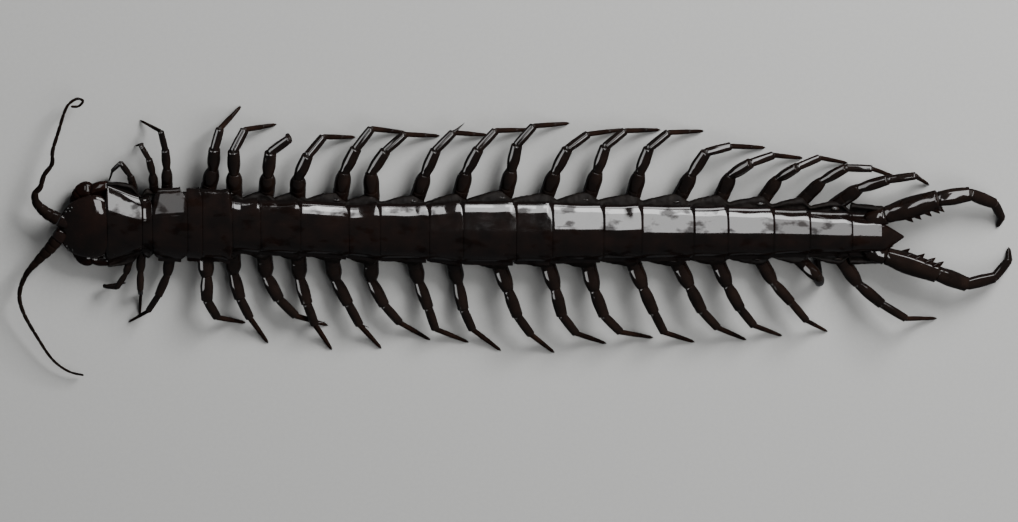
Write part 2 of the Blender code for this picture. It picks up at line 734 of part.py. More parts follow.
def build_forcipule(side):
    name = f"forcipule_{side}"
    middle = smooth_at(MIDDLE, -131.0)
    places = [Vector((x, middle + sign_of(side) * y, z)) for x, y, z, wide, high in FANG]
    rings = []
    for k, (x, y, z, wide, high) in enumerate(FANG):
        way = places[min(k + 1, len(places) - 1)] - places[max(k - 1, 0)]
        if k == 0:
            way = Vector((-1, 0, 0))
        rings.append(ring_round(places[k], way, wide, high, 10))
    return new_object(name, loft(rings), "forcipule", places[0])


def antenna_line(side):
    return route([Vector(point) for point in ANTENNA_ROUTE[side]], ANTENNA_STEP)


def antenna_root(side):
    """The middle of the face that an antenna meets, and the direction in which it leaves the head."""
    line = antenna_line(side)
    way = (line[1] - line[0]).normalized()
    return line[0] - way * GAP, way


def build_antenna(side):
    name = f"antenna_{side}"
    line = antenna_line(side)
    rings = []
    run = 0.0
    for k, point in enumerate(line):
        if k:
            run += (point - line[k - 1]).length
        before, after = line[max(k - 1, 0)], line[min(k + 1, len(line) - 1)]
        radius = smooth_at(ANTENNA_RADII, run)
        rings.append(ring_round(point, after - before, radius, radius, ANTENNA_SIDES))
    return new_object(name, loft(rings), "antenna", line[0])


def main():
    for old in list(bpy.data.objects):
        bpy.data.objects.remove(old)
    bpy.context.scene.collection.children.link(bpy.data.collections.new(ANIMAL))
    build_head()
    build_fang_plate()
    build_trunk()
    for side in ("right", "left"):
        build_forcipule(side)
        build_antenna(side)
        build_ultimate_leg(side)
        for number in range(1, LEG_PAIRS + 1):
            build_leg(side, number)


main()
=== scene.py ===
"""The looks of a giant centipede that stands on a pale floor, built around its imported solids.

Lengths are in millimetres in the animal's own frame until a mesh is made: the head points along -X, the
animal's right side is +Y, and the floor is z = 0.
"""

import math

import bmesh
import bpy
import numpy as np
from mathutils import Matrix, Vector, noise


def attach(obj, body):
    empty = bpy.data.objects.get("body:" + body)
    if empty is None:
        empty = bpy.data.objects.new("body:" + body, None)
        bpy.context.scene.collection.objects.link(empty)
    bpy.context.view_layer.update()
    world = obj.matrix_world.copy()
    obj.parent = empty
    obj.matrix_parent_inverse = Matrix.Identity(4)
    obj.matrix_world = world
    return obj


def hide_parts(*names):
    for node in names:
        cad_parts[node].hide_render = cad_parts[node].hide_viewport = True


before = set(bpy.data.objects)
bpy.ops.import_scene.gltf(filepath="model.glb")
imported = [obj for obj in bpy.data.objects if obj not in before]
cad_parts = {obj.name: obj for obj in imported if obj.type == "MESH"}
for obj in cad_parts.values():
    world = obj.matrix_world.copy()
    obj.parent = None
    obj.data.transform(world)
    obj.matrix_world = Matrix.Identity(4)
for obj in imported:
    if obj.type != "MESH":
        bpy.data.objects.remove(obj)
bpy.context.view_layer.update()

MM = 0.001
PLACE = Vector((-4.7, 3.4, 0.0))
GAP = 0.3
SIDES = ("right", "left")

# Trunk, as in the solids
TRUNK_FRONT = -124.2
PLATE_LENGTHS = (
    11.1, 3.2, 11.1, 4.7, 9.5, 8.8, 12.6, 15.2, 9.8, 15.5, 10.7,
    16.7, 11.4, 16.1, 12.0, 16.4, 10.7, 14.5, 11.4, 13.3, 9.5,
)
TRUNK_END = 120.6
MIDDLE = (
    (-139.0, 1.0), (-124.0, 2.0), (-98.0, 2.7), (-79.0, 1.9), (-57.0, 1.2),
    (-44.0, 0.3), (60.0, 0.0), (95.0, -0.3), (114.0, -1.2), (127.3, -2.0),
)
FLANK_HALF = (
    (-124.2, 14.4), (-120.0, 14.3), (-116.0, 13.4), (-112.8, 12.0), (-105.0, 12.1), (-88.0, 11.8),
    (-57.0, 12.1), (-44.0, 12.1), (-30.0, 12.0), (-17.0, 12.3), (-3.0, 13.5), (12.0, 12.8),
    (25.0, 13.2), (37.0, 12.5), (50.0, 12.6), (70.0, 12.2),
    (88.0, 11.5), (103.0, 11.1), (119.4, 9.8),
)
PLATE_HALF = (
    (-124.2, 13.2), (-119.0, 11.0), (-113.2, 8.5), (-110.0, 8.7), (-108.6, 10.9), (-104.0, 11.4),
    (-88.0, 11.2), (-85.2, 11.1), (-84.2, 8.5), (-78.0, 8.3), (-60.0, 8.4), (-47.0, 8.1), (-38.0, 8.8),
    (-26.0, 8.7), (-12.0, 9.7), (5.0, 9.6), (16.0, 9.4), (31.0, 8.6), (47.0, 8.5), (60.0, 8.0),
    (71.0, 7.9), (85.0, 7.4), (97.0, 6.8), (110.0, 6.3), (119.4, 6.0),
)
BACK_HEIGHT = (
    (-124.2, 10.9), (-110.0, 12.2), (-60.0, 12.8), (30.0, 13.2), (80.0, 12.6), (105.0, 11.6),
    (119.4, 10.2),
)
BELLY = 2.0
MARGIN_DROP = 4.4
FLANK_HEIGHT = 6.0
STERNITE_SHARE = 0.66
PLATE_STEP = 0.5
NOTCH_DEPTH = 2.5
NOTCH_BEHIND = 3.1
LOBE_POWER = 1.5

# Legs, as in the solids
LEG_X = {
    "right": (
        -115.5, -109.0, -104.9, -92.0, -83.7, -73.6, -63.8, -50.2, -40.4, -25.9,
        -12.6, 1.9, 14.9, 28.4, 42.0, 56.9, 69.8, 83.4, 95.7, 106.8,
    ),
    "left": (
        -116.7, -113.3, -104.0, -93.2, -84.4, -74.6, -63.8, -53.4, -40.8, -27.5,
        -14.9, -0.3, 14.9, 27.8, 42.0, 55.9, 68.6, 82.2, 94.4, 107.8,
    ),
}
LEG_STATIONS = [(right + left) / 2 for right, left in zip(LEG_X["right"], LEG_X["left"])]
LEG_PAIRS = len(LEG_STATIONS)
LEG_SIZE = (
    0.60, 0.66, 0.82, 0.88, 0.95, 0.96, 0.97, 1.0, 1.0, 1.0,
    1.0, 1.0, 1.0, 1.0, 1.0, 1.0, 0.96, 0.96, 1.03, 1.10,
)
# How thick each pair is beside a full-sized leg
LEG_GIRTH = (
    0.48, 0.59, 0.71, 1.02, 1.04, 1.05, 1.03, 1.03, 1.0, 1.0,
    1.0, 1.0, 1.0, 1.0, 1.0, 1.0, 0.98, 0.88, 0.86, 0.93,
)
PODOMERES = (8.9, 9.0, 8.0, 7.6, 5.4)
LEG_ROOT_HEIGHT = 3.9
LEG_ROOT_INSET = 1.2
COXA_REACH = 2.1
COXA_RADIUS = 2.50
RISE = (16.0, 4.0, -8.0)
FIRST_TARSUS_SHARE = 0.70
SOLE = 0.07
VIEW_LEAN = math.radians(22.0)
BEARINGS = {
    "right": (
        (106, 126, 222, 248), (94, 103, 120, 195), (90, 93, 103, 152), (75, 85, 74, 48), (90, 90, 62, 10),
        (83, 83, 35, -60), (87, 66, 50, 0), (80, 63, 52, -6), (92, 56, 41, -2), (71, 66, 45, -4),
        (74, 62, 47, 2), (76, 78, 48, 5), (70, 62, 36, 8), (72, 72, 39, 2), (74, 70, 39, 3),
        (62, 57, 14, -2), (66, 32, 19, -5), (55, 31, 23, -10), (45, 29, -2, -18), (34, 17, 8, -30),
    ),
    "left": (
        (-107, -124, 172, 8), (-93, -91, -92, -93), (-99, -114, -124, -151), (-86, -90, -60, -11),
        (-90, -75, -64, -55), (-85, -62, -45, -17), (-87, -74, -70, -57), (-81, -62, -62, -48),
        (-90, -62, -49, -30), (-77, -70, -72, -22), (-79, -78, -66, -37), (-71, -70, -54, -38),
        (-73, -76, -52, -19), (-77, -69, -45, -10), (-69, -66, -63, -18), (-63, -63, -47, -23),
        (-67, -61, -51, -20), (-60, -48, -50, -27), (-44, -70, 97, 122), (-56, -40, -31, 0),
    ),
}
HELD = {
    ("right", 1): (30.0, 5.0, -25.0),
    ("right", 2): (16.0, 14.0, 0.0),
    ("right", 3): (12.0, 14.0, 4.0),
    ("right", 4): (12.0, 14.0, 2.0),
    ("right", 5): (22.0, 12.0, -14.0),
    ("right", 6): (32.0, 10.0, 6.0),
    ("right", 7): (28.0, 10.0, -20.0),
    ("right", 17): (14.0, 20.0, -16.0),
    ("right", 18): (12.0, 24.0, -18.0),
    ("right", 19): (10.0, 14.0, 4.0),
    ("right", 20): (24.0, 14.0, 2.0),
    ("left", 1): (15.0, 5.0, -30.0),
    ("left", 2): (12.0, 10.0, -55.0),
    ("left", 5): (-8.0, 12.0, -6.0),
    ("left", 6): (-6.0, 10.0, 2.0),
    ("left", 7): (-6.0, 14.0, -6.0),
    ("left", 8): (-6.0, 10.0, 0.0),
    ("left", 9): (-8.0, 14.0, -8.0),
    ("left", 10): (-6.0, 14.0, -8.0),
    ("left", 11): (-8.0, 12.0, -10.0),
    ("left", 18): (6.0, 14.0, 4.0),
    ("left", 19): (36.0, -59.0, -4.0),
    ("left", 20): (8.0, 12.0, 10.0),
}
INSET = {
    ("right", 5): 2.0, ("right", 7): 2.4, ("left", 5): 2.4, ("left", 6): 2.2, ("left", 7): 2.0,
    ("left", 8): 2.2, ("left", 9): 2.4, ("left", 10): 2.0, ("left", 11): 2.2,
}
ULTIMATE_LENGTHS = (17.2, 10.2, 9.2, 7.2, 4.3)
ULTIMATE_ROOT = (121.6, 6.9, 5.8)
ULTIMATE_BEARINGS = {"right": (17, 9, -21, -61, -114), "left": (-19, -20, 14, 50, 90)}
ULTIMATE_RISE = (5.0, -4.0, -14.0, -26.0)
SPINE_ROWS = ((0.34, 0.50, 0.70, 0.86), (0.28, 0.57, 0.78))

# Radii of each podomere: near its root, at its belly and before its rim
LEG_WIDTHS = (
    (2.50, 2.54, 1.98), (1.62, 2.02, 1.82), (1.40, 1.47, 1.37), (0.86, 0.82, 0.76), (0.72, 0.66, 0.50),
)
ULTIMATE_WIDTHS = (
    (2.80, 3.48, 3.05), (2.40, 2.68, 2.36), (1.85, 2.02, 1.76), (1.45, 1.50, 1.30), (1.18, 1.02, 0.66),
)

# Head, forcipules and antennae
HEAD = (
    (-139.0, 0.3, 6.9), (-138.9, 2.0, 7.0), (-138.5, 3.9, 7.25), (-137.4, 6.2, 8.0), (-135.0, 8.5, 9.05),
    (-131.6, 10.1, 10.05), (-128.2, 10.6, 10.85), (-125.8, 10.2, 11.1), (-123.9, 9.4, 11.0),
)
HEAD_MARGIN = 6.9
HEAD_UNDERSIDE = 5.0
EYES = ((-136.7, 5.9), (-136.1, 7.0), (-135.5, 6.1), (-134.9, 7.2))
EYE_RADIUS = 0.42
FANG_PLATE = ((-129.0, 13.3), (-127.8, 13.9), (-126.2, 14.3), (-123.6, 14.4))
FANG = (
    (-128.6, 11.2, 4.1, 2.2, 1.9), (-129.3, 11.3, 4.1, 2.5, 2.2), (-130.5, 11.4, 4.0, 2.8, 2.4),
    (-132.0, 10.6, 3.9, 2.6, 2.2), (-133.4, 9.0, 3.7, 2.0, 1.8), (-134.3, 7.4, 3.4, 1.5, 1.35),
    (-134.6, 5.4, 3.1, 1.1, 1.05), (-134.0, 3.6, 2.9, 0.75, 0.75), (-132.8, 2.3, 2.7, 0.10, 0.10),
)
MAXILLAE = (
    (-129.6, 5.6, 4.3), (-131.6, 5.4, 4.25), (-133.6, 4.0, 4.35), (-135.0, 2.2, 4.5), (-135.6, 0.8, 4.6),
)
ANTENNA_ROUTE = {
    "right": (
        (-139.4, 4.2, 6.4), (-142.8, 6.2, 6.6), (-145.9, 9.6, 7.0), (-146.4, 13.0, 7.3), (-144.7, 15.4, 7.6),
        (-143.4, 19.6, 8.0), (-140.9, 23.4, 8.0), (-140.6, 27.8, 7.8), (-138.7, 34.0, 7.0),
        (-136.8, 40.1, 6.0), (-135.2, 42.8, 5.5), (-132.8, 44.2, 5.0), (-131.0, 43.3, 4.6),
        (-132.4, 41.4, 4.2), (-134.9, 41.2, 4.0),
    ),
    "left": (
        (-139.8, -2.9, 6.4), (-142.2, -6.0, 6.5), (-146.0, -10.0, 6.8), (-149.8, -14.8, 7.0),
        (-151.9, -21.5, 6.6), (-150.6, -28.5, 5.7), (-146.3, -37.5, 4.5), (-141.9, -45.1, 3.4),
        (-137.0, -49.4, 2.6), (-132.1, -51.1, 1.9),
    ),
}
ANTENNA_RADII = (
    (0.0, 2.05), (4.0, 1.80), (9.0, 1.30), (14.0, 0.90), (20.0, 0.72), (32.0, 0.58), (46.0, 0.45),
    (70.0, 0.27),
)
COXOPLEURA = (
    (-7.0, 2.2), (-5.0, 2.9), (-3.0, 3.15), (-1.4, 3.1), (-0.7, 3.0), (-0.25, 3.02), (0.0, 2.9), (0.1, 2.6),
    (0.0, 2.0),
)
TAIL_POINT = ((117.6, 4.6, 9.6, 6.8), (121.4, 4.2, 9.2, 6.6), (123.4, 3.1, 8.4, 6.4), (127.4, 0.3, 6.5, 5.9))
SPIRACLE_LEGS = (3, 5, 8, 10, 12, 14, 16, 18, 20)


# Curves

def smooth_at(table, x, column=1):
    last = len(table) - 1
    if x <= table[0][0]:
        return table[0][column]
    if x >= table[last][0]:
        return table[last][column]
    low = max(k for k in range(last) if table[k][0] <= x)
    a, b = table[low], table[low + 1]

    def slope(k):
        before, after = table[max(k - 1, 0)], table[min(k + 1, last)]
        return (after[column] - before[column]) / (after[0] - before[0])

    span = b[0] - a[0]
    t = (x - a[0]) / span
    return (
        a[column] * (1 + 2 * t) * (1 - t) ** 2
        + b[column] * t * t * (3 - 2 * t)
        + slope(low) * span * t * (1 - t) ** 2
        - slope(low + 1) * span * t * t * (1 - t)
    )


def clamp(value, low=0.0, high=1.0):
    return min(max(value, low), high)


def ease(t):
    t = clamp(t)
    return t * t * (3 - 2 * t)


def bump(value, centre, width):
    """1 at the centre, falling to 0 a few widths away."""
    return math.exp(-(((value - centre) / width) ** 2))


def route(points, step):
    found = []
    for k in range(len(points) - 1):
        before = points[max(k - 1, 0)]
        a, b = points[k], points[k + 1]
        after = points[min(k + 2, len(points) - 1)]
        count = max(1, round((b - a).length / step))
        for n in range(count):
            t = n / count
            found.append(
                a * (1 + 2 * t) * (1 - t) ** 2
                + b * t * t * (3 - 2 * t)
                + (b - before) * 0.5 * t * (1 - t) ** 2
                - (after - a) * 0.5 * t * t * (1 - t)
            )
    found.append(points[-1])
    return found


def running_lengths(points):
    lengths = [0.0]
    for a, b in zip(points, points[1:]):
        lengths.append(lengths[-1] + (b - a).length)
    return lengths


def heading(line, k):
    """Which way a line of points runs at point k."""
    return line[min(k + 1, len(line) - 1)] - line[max(k - 1, 0)]


def sign_of(side):
    return 1.0 if side == "right" else -1.0


def middle(x):
    return smooth_at(MIDDLE, x)


def wander(x, y, z, scale):
    """Smooth noise from about -1 to 1, with features scale millimetres across."""
    return noise.noise(Vector((x, y, z)) / scale)


# Meshes

def add_object(name, data):
    made = bpy.data.objects.new(name, data)
    bpy.context.scene.collection.objects.link(made)
    return made


class Skin:
    """Collects grids of points into one mesh."""

    def __init__(self):
        self.points = []
        self.faces = []
        self.count = 0

    def grid(self, rows, closed=False):
        """Rows of points. When closed, each row is a ring and both ends are capped."""
        rows = np.array([[tuple(p) for p in row] for row in rows], float)
        n, m = rows.shape[:2]
        base = self.count
        self.points.append(rows.reshape(-1, 3))
        self.count += n * m
        columns = m if closed else m - 1
        i = np.arange(n - 1)[:, None]
        k = np.arange(columns)[None, :]
        after = (k + 1) % m
        quads = np.stack(
            [base + i * m + k, base + i * m + after, base + (i + 1) * m + after, base + (i + 1) * m + k], -1
        )
        self.faces += quads.reshape(-1, 4).tolist()
        if closed:
            for row in (0, n - 1):
                self.points.append(rows[row].mean(0)[None])
                rim = base + row * m
                self.faces += [[rim + c, rim + (c + 1) % m, self.count] for c in range(m)]
                self.count += 1

    def make(self, name, material, slot, nodes=()):
        data = bpy.data.meshes.new(name)
        points = (np.concatenate(self.points) + np.array(PLACE)) * MM
        data.from_pydata(points.tolist(), [], self.faces)
        shape = bmesh.new()
        shape.from_mesh(data)
        bmesh.ops.recalc_face_normals(shape, faces=shape.faces)
        shape.to_mesh(data)
        shape.free()
        data.shade_smooth()
        data.materials.append(material)
        made = add_object(name, data)
        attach(made, "root")
        if nodes:
            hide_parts(*nodes)
        return made


def ring_round(centre, along, wide, high, sides, phase=0.0):
    forward = along.normalized()
    side = Vector((0, 0, 1)).cross(forward)
    if side.length < 0.05:
        side = Vector((1, 0, 0)).cross(forward)
    side.normalize()
    up = forward.cross(side)
    ring = []
    for k in range(sides):
        turn = math.tau * k / sides + phase
        ring.append(centre + side * (wide * math.cos(turn)) + up * (high * math.sin(turn)))
    return ring


# Materials

PIT_SPACING = 0.45


def new_material(name, colour, roughness, coat=0.0, specular=0.5):
    material = bpy.data.materials.new(name)
    material.use_nodes = True
    shader = material.node_tree.nodes["Principled BSDF"]
    shader.inputs["Base Color"].default_value = (*colour, 1.0)
    shader.inputs["Roughness"].default_value = roughness
    shader.inputs["Specular IOR Level"].default_value = specular
    if coat:
        shader.inputs["Coat Weight"].default_value = coat
        shader.inputs["Coat Roughness"].default_value = 0.05
        shader.inputs["Coat IOR"].default_value = 1.8
    return material, shader


def in_thousandths(colour):
    return tuple(value / 1000 for value in colour)


def noise_node(material, scale_mm, detail=4.0, stretch=(1.0, 1.0, 1.0)):
    """Noise in object space with features of about that many millimetres."""
    tree = material.node_tree
    where = tree.nodes.new("ShaderNodeTexCoord")
    mapping = tree.nodes.new("ShaderNodeMapping")
    mapping.inputs["Scale"].default_value = [1000.0 / (scale_mm * s) for s in stretch]
    field = tree.nodes.new("ShaderNodeTexNoise")
    field.inputs["Scale"].default_value = 1.0
    field.inputs["Detail"].default_value = detail
    tree.links.new(where.outputs["Object"], mapping.inputs["Vector"])
    tree.links.new(mapping.outputs["Vector"], field.inputs["Vector"])
    return field.outputs["Fac"]


def ramp_node(material, source, stops):
    tree = material.node_tree
    ramp = tree.nodes.new("ShaderNodeValToRGB")
    while len(ramp.color_ramp.elements) < len(stops):
        ramp.color_ramp.elements.new(0.5)
    for element, (place, colour) in zip(ramp.color_ramp.elements, stops):
        element.position = place
        element.color = (*colour, 1.0)
    tree.links.new(source, ramp.inputs["Fac"])
    return ramp.outputs["Color"]


def range_node(material, source, low, high, start=0.3, stop=0.7):
    node = material.node_tree.nodes.new("ShaderNodeMapRange")
    node.inputs["From Min"].default_value = start
    node.inputs["From Max"].default_value = stop
    node.inputs["To Min"].default_value = low
    node.inputs["To Max"].default_value = high
    material.node_tree.links.new(source, node.inputs["Value"])
    return node.outputs["Result"]


def bump_node(material, source, distance_mm, strength, under=None):
    tree = material.node_tree
    node = tree.nodes.new("ShaderNodeBump")
    node.inputs["Distance"].default_value = distance_mm * MM
    node.inputs["Strength"].default_value = strength
    tree.links.new(source, node.inputs["Height"])
    if under:
        tree.links.new(under, node.inputs["Normal"])
    return node.outputs["Normal"]


def chitin(name, dark, warm, low, high, coat, waves, pits, wave_mm=3.0, worn=False):
    """Hard, glossy, near-black cuticle: clouded colour, patchy gloss, slow waves and fine pits."""
    dark, warm = in_thousandths(dark), in_thousandths(warm)
    material, shader = new_material(name, dark, low, coat, 0.02)
    tree = material.node_tree
    link = tree.links.new
    cloud = noise_node(material, 6.0, 5.0)
    link(ramp_node(material, cloud, ((0.35, dark), (0.72, warm))), shader.inputs["Base Color"])
    patches = noise_node(material, 2.2, 6.0)
    link(range_node(material, patches, low, high), shader.inputs["Roughness"])
    if coat > 0.3:
        link(range_node(material, patches, 0.03, 0.10), shader.inputs["Coat Roughness"])
    if worn:
        rubbed = noise_node(material, 4.2, 8.0, (1.6, 1.0, 1.0))
        link(range_node(material, rubbed, 0.25 * coat, coat, 0.36, 0.45), shader.inputs["Coat Weight"])
    first = bump_node(material, noise_node(material, wave_mm, 2.0), waves, 0.6)
    pit = tree.nodes.new("ShaderNodeTexVoronoi")
    pit.inputs["Scale"].default_value = 1000.0 / PIT_SPACING
    where = tree.nodes.new("ShaderNodeTexCoord")
    link(where.outputs["Object"], pit.inputs["Vector"])
    link(bump_node(material, pit.outputs["Distance"], pits, 0.5, first), shader.inputs["Normal"])
    return material


def membrane(name, dark, pale, specular=0.3):
    """Leathery flank skin: dull, folded and finely wrinkled."""
    dark, pale = in_thousandths(dark), in_thousandths(pale)
    material, shader = new_material(name, dark, 0.5, 0.0, specular)
    link = material.node_tree.links.new
    cloud = noise_node(material, 3.0, 6.0)
    link(ramp_node(material, cloud, ((0.35, dark), (0.75, pale))), shader.inputs["Base Color"])
    link(range_node(material, noise_node(material, 1.4, 4.0), 0.45, 0.65), shader.inputs["Roughness"])
    first = bump_node(material, noise_node(material, 1.3, 6.0, (0.7, 1.0, 1.6)), 0.25, 0.8)
    link(bump_node(material, noise_node(material, 0.25, 3.0), 0.03, 0.6, first), shader.inputs["Normal"])
    return material


# Colours in thousandths
BACK = chitin("back_plates", (4.2, 2.7, 2.3), (9.6, 4.8, 3.6), 0.18, 0.34, 1.0, 0.03, 0.010, worn=True)
HEAD_SHIELD = chitin("head_shield", (4.8, 2.7, 2.1), (12.0, 4.8, 3.3), 0.20, 0.34, 0.9, 0.06, 0.016)
LEGS = chitin("leg_cuticle", (4.8, 3.0, 2.4), (12.0, 6.6, 4.8), 0.20, 0.34, 0.8, 0.05, 0.012)
TARSI = chitin("tarsus_cuticle", (6.0, 3.6, 3.0), (15.6, 7.8, 5.4), 0.34, 0.46, 0.12, 0.04, 0.02, 1.2)
JOINTS = membrane("joint_membrane", (7.2, 4.8, 3.6), (16.8, 10.8, 8.4))
FLANKS = membrane("flank_skin", (4.2, 3.0, 2.7), (9.6, 7.2, 6.0), 0.14)
BELLY_PLATES = chitin("belly_plates", (8.4, 5.4, 3.6), (20.4, 12.0, 7.8), 0.22, 0.36, 0.4, 0.06, 0.014)
FANGS = chitin("fang_cuticle", (5.4, 2.7, 2.1), (14.4, 4.8, 3.0), 0.22, 0.34, 0.3, 0.05, 0.012)
CLAWS = chitin("claw_horn", (4.8, 2.4, 1.8), (10.8, 4.8, 3.0), 0.12, 0.22, 0.6, 0.01, 0.004, 0.8)
FEELERS = chitin("feeler_cuticle", (5.4, 3.6, 3.0), (12.0, 7.2, 5.4), 0.30, 0.46, 0.2, 0.02, 0.03, 0.7)
EYE = chitin("ocelli", (2.4, 2.4, 2.4), (4.8, 4.2, 3.6), 0.05, 0.08, 1.0, 0.0, 0.001)


# Places

def plate_ends():
    ends = []
    x = TRUNK_FRONT
    for length in PLATE_LENGTHS:
        x += length
        ends.append(x)
    return ends


ENDS = plate_ends()


def seen_direction(bearing, rise):
    slope, tilt = math.radians(bearing), math.radians(rise)
    level = math.cos(tilt)
    across = level * math.cos(VIEW_LEAN) * math.cos(slope)
    along = level * math.sin(slope)
    size = math.hypot(across, along)
    lift = math.sin(tilt) * math.sin(VIEW_LEAN) * math.cos(slope)
    turn = math.atan2(along, across) + math.asin(clamp(lift / size, -1.0))
    return Vector((level * math.cos(turn), level * math.sin(turn), math.sin(tilt)))


def walk(start, lengths, directions):
    joints = [start]
    for length, direction in zip(lengths, directions):
        joints.append(joints[-1] + direction * length)
    return joints


def leg_root(side, number):
    x = LEG_X[side][number - 1]
    half = smooth_at(FLANK_HALF, x) - INSET.get((side, number), LEG_ROOT_INSET)
    return Vector((x, middle(x) + sign_of(side) * half, LEG_ROOT_HEIGHT))


def coxa_way(side, number):
    return seen_direction(BEARINGS[side][number - 1][0], HELD.get((side, number), RISE)[0])


def coxa_reach(side, number):
    deeper = INSET.get((side, number), LEG_ROOT_INSET) - LEG_ROOT_INSET
    return (COXA_REACH + deeper) / max(abs(coxa_way(side, number).y), 0.55)


def leg_joints(side, number):
    size = LEG_SIZE[number - 1]
    bearings = BEARINGS[side][number - 1]
    rises = HELD.get((side, number), RISE)
    directions = [seen_direction(b, r) for b, r in zip(bearings, rises)]
    lengths = [length * size for length in PODOMERES]
    joints = walk(leg_root(side, number), lengths, directions)
    joints[0] += directions[0] * (coxa_reach(side, number) + GAP)
    drop = joints[-1].z - SOLE
    for length, share in ((lengths[3], FIRST_TARSUS_SHARE), (lengths[4], 1.0)):
        fall = math.degrees(math.asin(min(drop * share / length, 0.97)))
        joints.append(joints[-1] + seen_direction(bearings[3], -fall) * length)
        drop = joints[-1].z - SOLE
    return joints


def ultimate_root(side):
    x, half, height = ULTIMATE_ROOT
    return Vector((x, middle(x) + sign_of(side) * half, height))


def ultimate_joints(side):
    bearings = ULTIMATE_BEARINGS[side]
    directions = [seen_direction(b, r) for b, r in zip(bearings, ULTIMATE_RISE)]
    start = ultimate_root(side) + directions[0] * GAP
    joints = walk(start, ULTIMATE_LENGTHS, directions)
    fall = math.asin(min((joints[-1].z - SOLE) / ULTIMATE_LENGTHS[4], 0.9))
    joints.append(joints[-1] + seen_direction(bearings[4], -math.degrees(fall)) * ULTIMATE_LENGTHS[4])
    return joints


def lobe(x):
    """How full the flank is at x: it narrows just behind each leg and swells again before the next."""
    behind = [leg + NOTCH_BEHIND for leg in LEG_STATIONS if leg + NOTCH_BEHIND <= x]
    ahead = [leg for leg in LEG_STATIONS if leg + NOTCH_BEHIND > x]
    if not ahead:
        return 1.0
    fall = 1.0 - ease((x - ahead[0]) / NOTCH_BEHIND)
    if not behind:
        return fall
    share = (x - behind[-1]) / (ahead[0] - behind[-1])
    return min(1.0 - (1.0 - min(share, 1.0)) ** LOBE_POWER, fall)


# Back plates

PLATE_COLUMNS = 96
PLATE_ROWS = 52
SEAM_WIDTH = 0.9
REAR_FALL = 2.0
# How each edge folds under: (outwards, downwards) steps
REAR_LIP = ((0.10, -0.10), (0.12, -0.24), (0.02, -0.38), (-0.35, -0.46))
SIDE_LIP = ((0.0, -0.10), (-0.16, -0.26), (-0.50, -0.34), (-1.1, -0.30))
PLATE_LENGTH_ENDS = {
    2: "back_plates_first", 3: "back_plates_third", 7: "back_plates_neck", 10: "back_plates_fore",
    13: "back_plates_waist", 15: "back_plates_middle", 18: "back_plates_rear",
    21: "back_plates_last",
}


def plate_profile(u):
    """Height over the margin, from 0 at the sides to 1 along the middle."""
    return 1 - min(abs(u), 1.0) ** 2.75


def plate_point(number, front, end, share, u, push, sink, out, down):
    """A point of one plate, at those shares of its length and of its half width."""
    length = end - front
    tuck = 0.9 * min(1.0, length / 9.0) if number > 1 else 0.0
    corner = 1.0 * abs(u) ** 9 if number != 3 else 2.2 * abs(u) ** 7
    start = front - tuck + 0.5 * abs(u) ** 6
    if number == 3:
        start += 2.4 * abs(u) ** 8
    rear = end + 0.30 - corner
    x = start + (rear - start) * share + push
    at = clamp(x, TRUNK_FRONT, TRUNK_END)
    inside = clamp((x - front) / length)
    tucked = 0.62 * PLATE_STEP * (1 - ease((x - front) / SEAM_WIDTH))
    tucked += 0.25 * PLATE_STEP * (1 - inside)
    fall = 1.0 - (end - x) / (REAR_FALL * (1.0 + 0.9 * abs(u) ** 5))
    corner_share = ease((abs(u) - 0.60) / 0.30) if number > 5 else 0.3
    tucked += 0.13 * max(fall, 0.0) ** 2 * corner_share
    if x < front:
        tucked += 0.35 * (front - x) / 0.9
    back = smooth_at(BACK_HEIGHT, at)
    top = back - tucked + 0.05
    half = smooth_at(PLATE_HALF, at) - 0.6 * tucked + 0.35 * ease((inside - 0.5) / 0.5)
    margin = back - MARGIN_DROP - 0.5 * tucked
    z = margin + (top - margin) * plate_profile(u)
    if number > 1:
        z -= 0.05 * bump(abs(u), 0.40 + 0.05 * inside, 0.016) * ease(inside / 0.1)
    z += 0.03 * wander(x, u * half, number * 7.0, 8.0)
    z += 0.007 * wander(x, u * half, number, 1.6)
    y = u * half + math.copysign(out, u)
    return (x, middle(at) + y, z + down + sink)


def build_back_plates():
    """The plates, in lengths that each reflect their own part of the room."""
    flat = (0.0, 0.0)
    stations = [(0.5 - 0.5 * math.cos(math.pi * k / (PLATE_ROWS - 1)), flat) for k in range(PLATE_ROWS)]
    stations += [(1.0, lip) for lip in REAR_LIP]
    columns = [-1 + 2 * k / (PLATE_COLUMNS - 1) for k in range(PLATE_COLUMNS)]
    spread = [(-1.0, lip) for lip in reversed(SIDE_LIP)]
    spread += [(math.copysign(1 - (1 - abs(c)) ** 1.25, c), flat) for c in columns]
    spread += [(1.0, lip) for lip in SIDE_LIP]
    front = TRUNK_FRONT
    skin = Skin()
    made = {}
    for number, end in enumerate(ENDS, 1):
        skin.grid([
            [plate_point(number, front, end, share, u, *rear, *edge) for u, edge in spread]
            for share, rear in stations
        ])
        front = end
        if number in PLATE_LENGTH_ENDS:
            name = PLATE_LENGTH_ENDS[number]
            made[name] = skin.make(name, BACK, "trunk_chitin")
            skin = Skin()
    return made


# Flank skin: one skin under the plates from the head to the tail

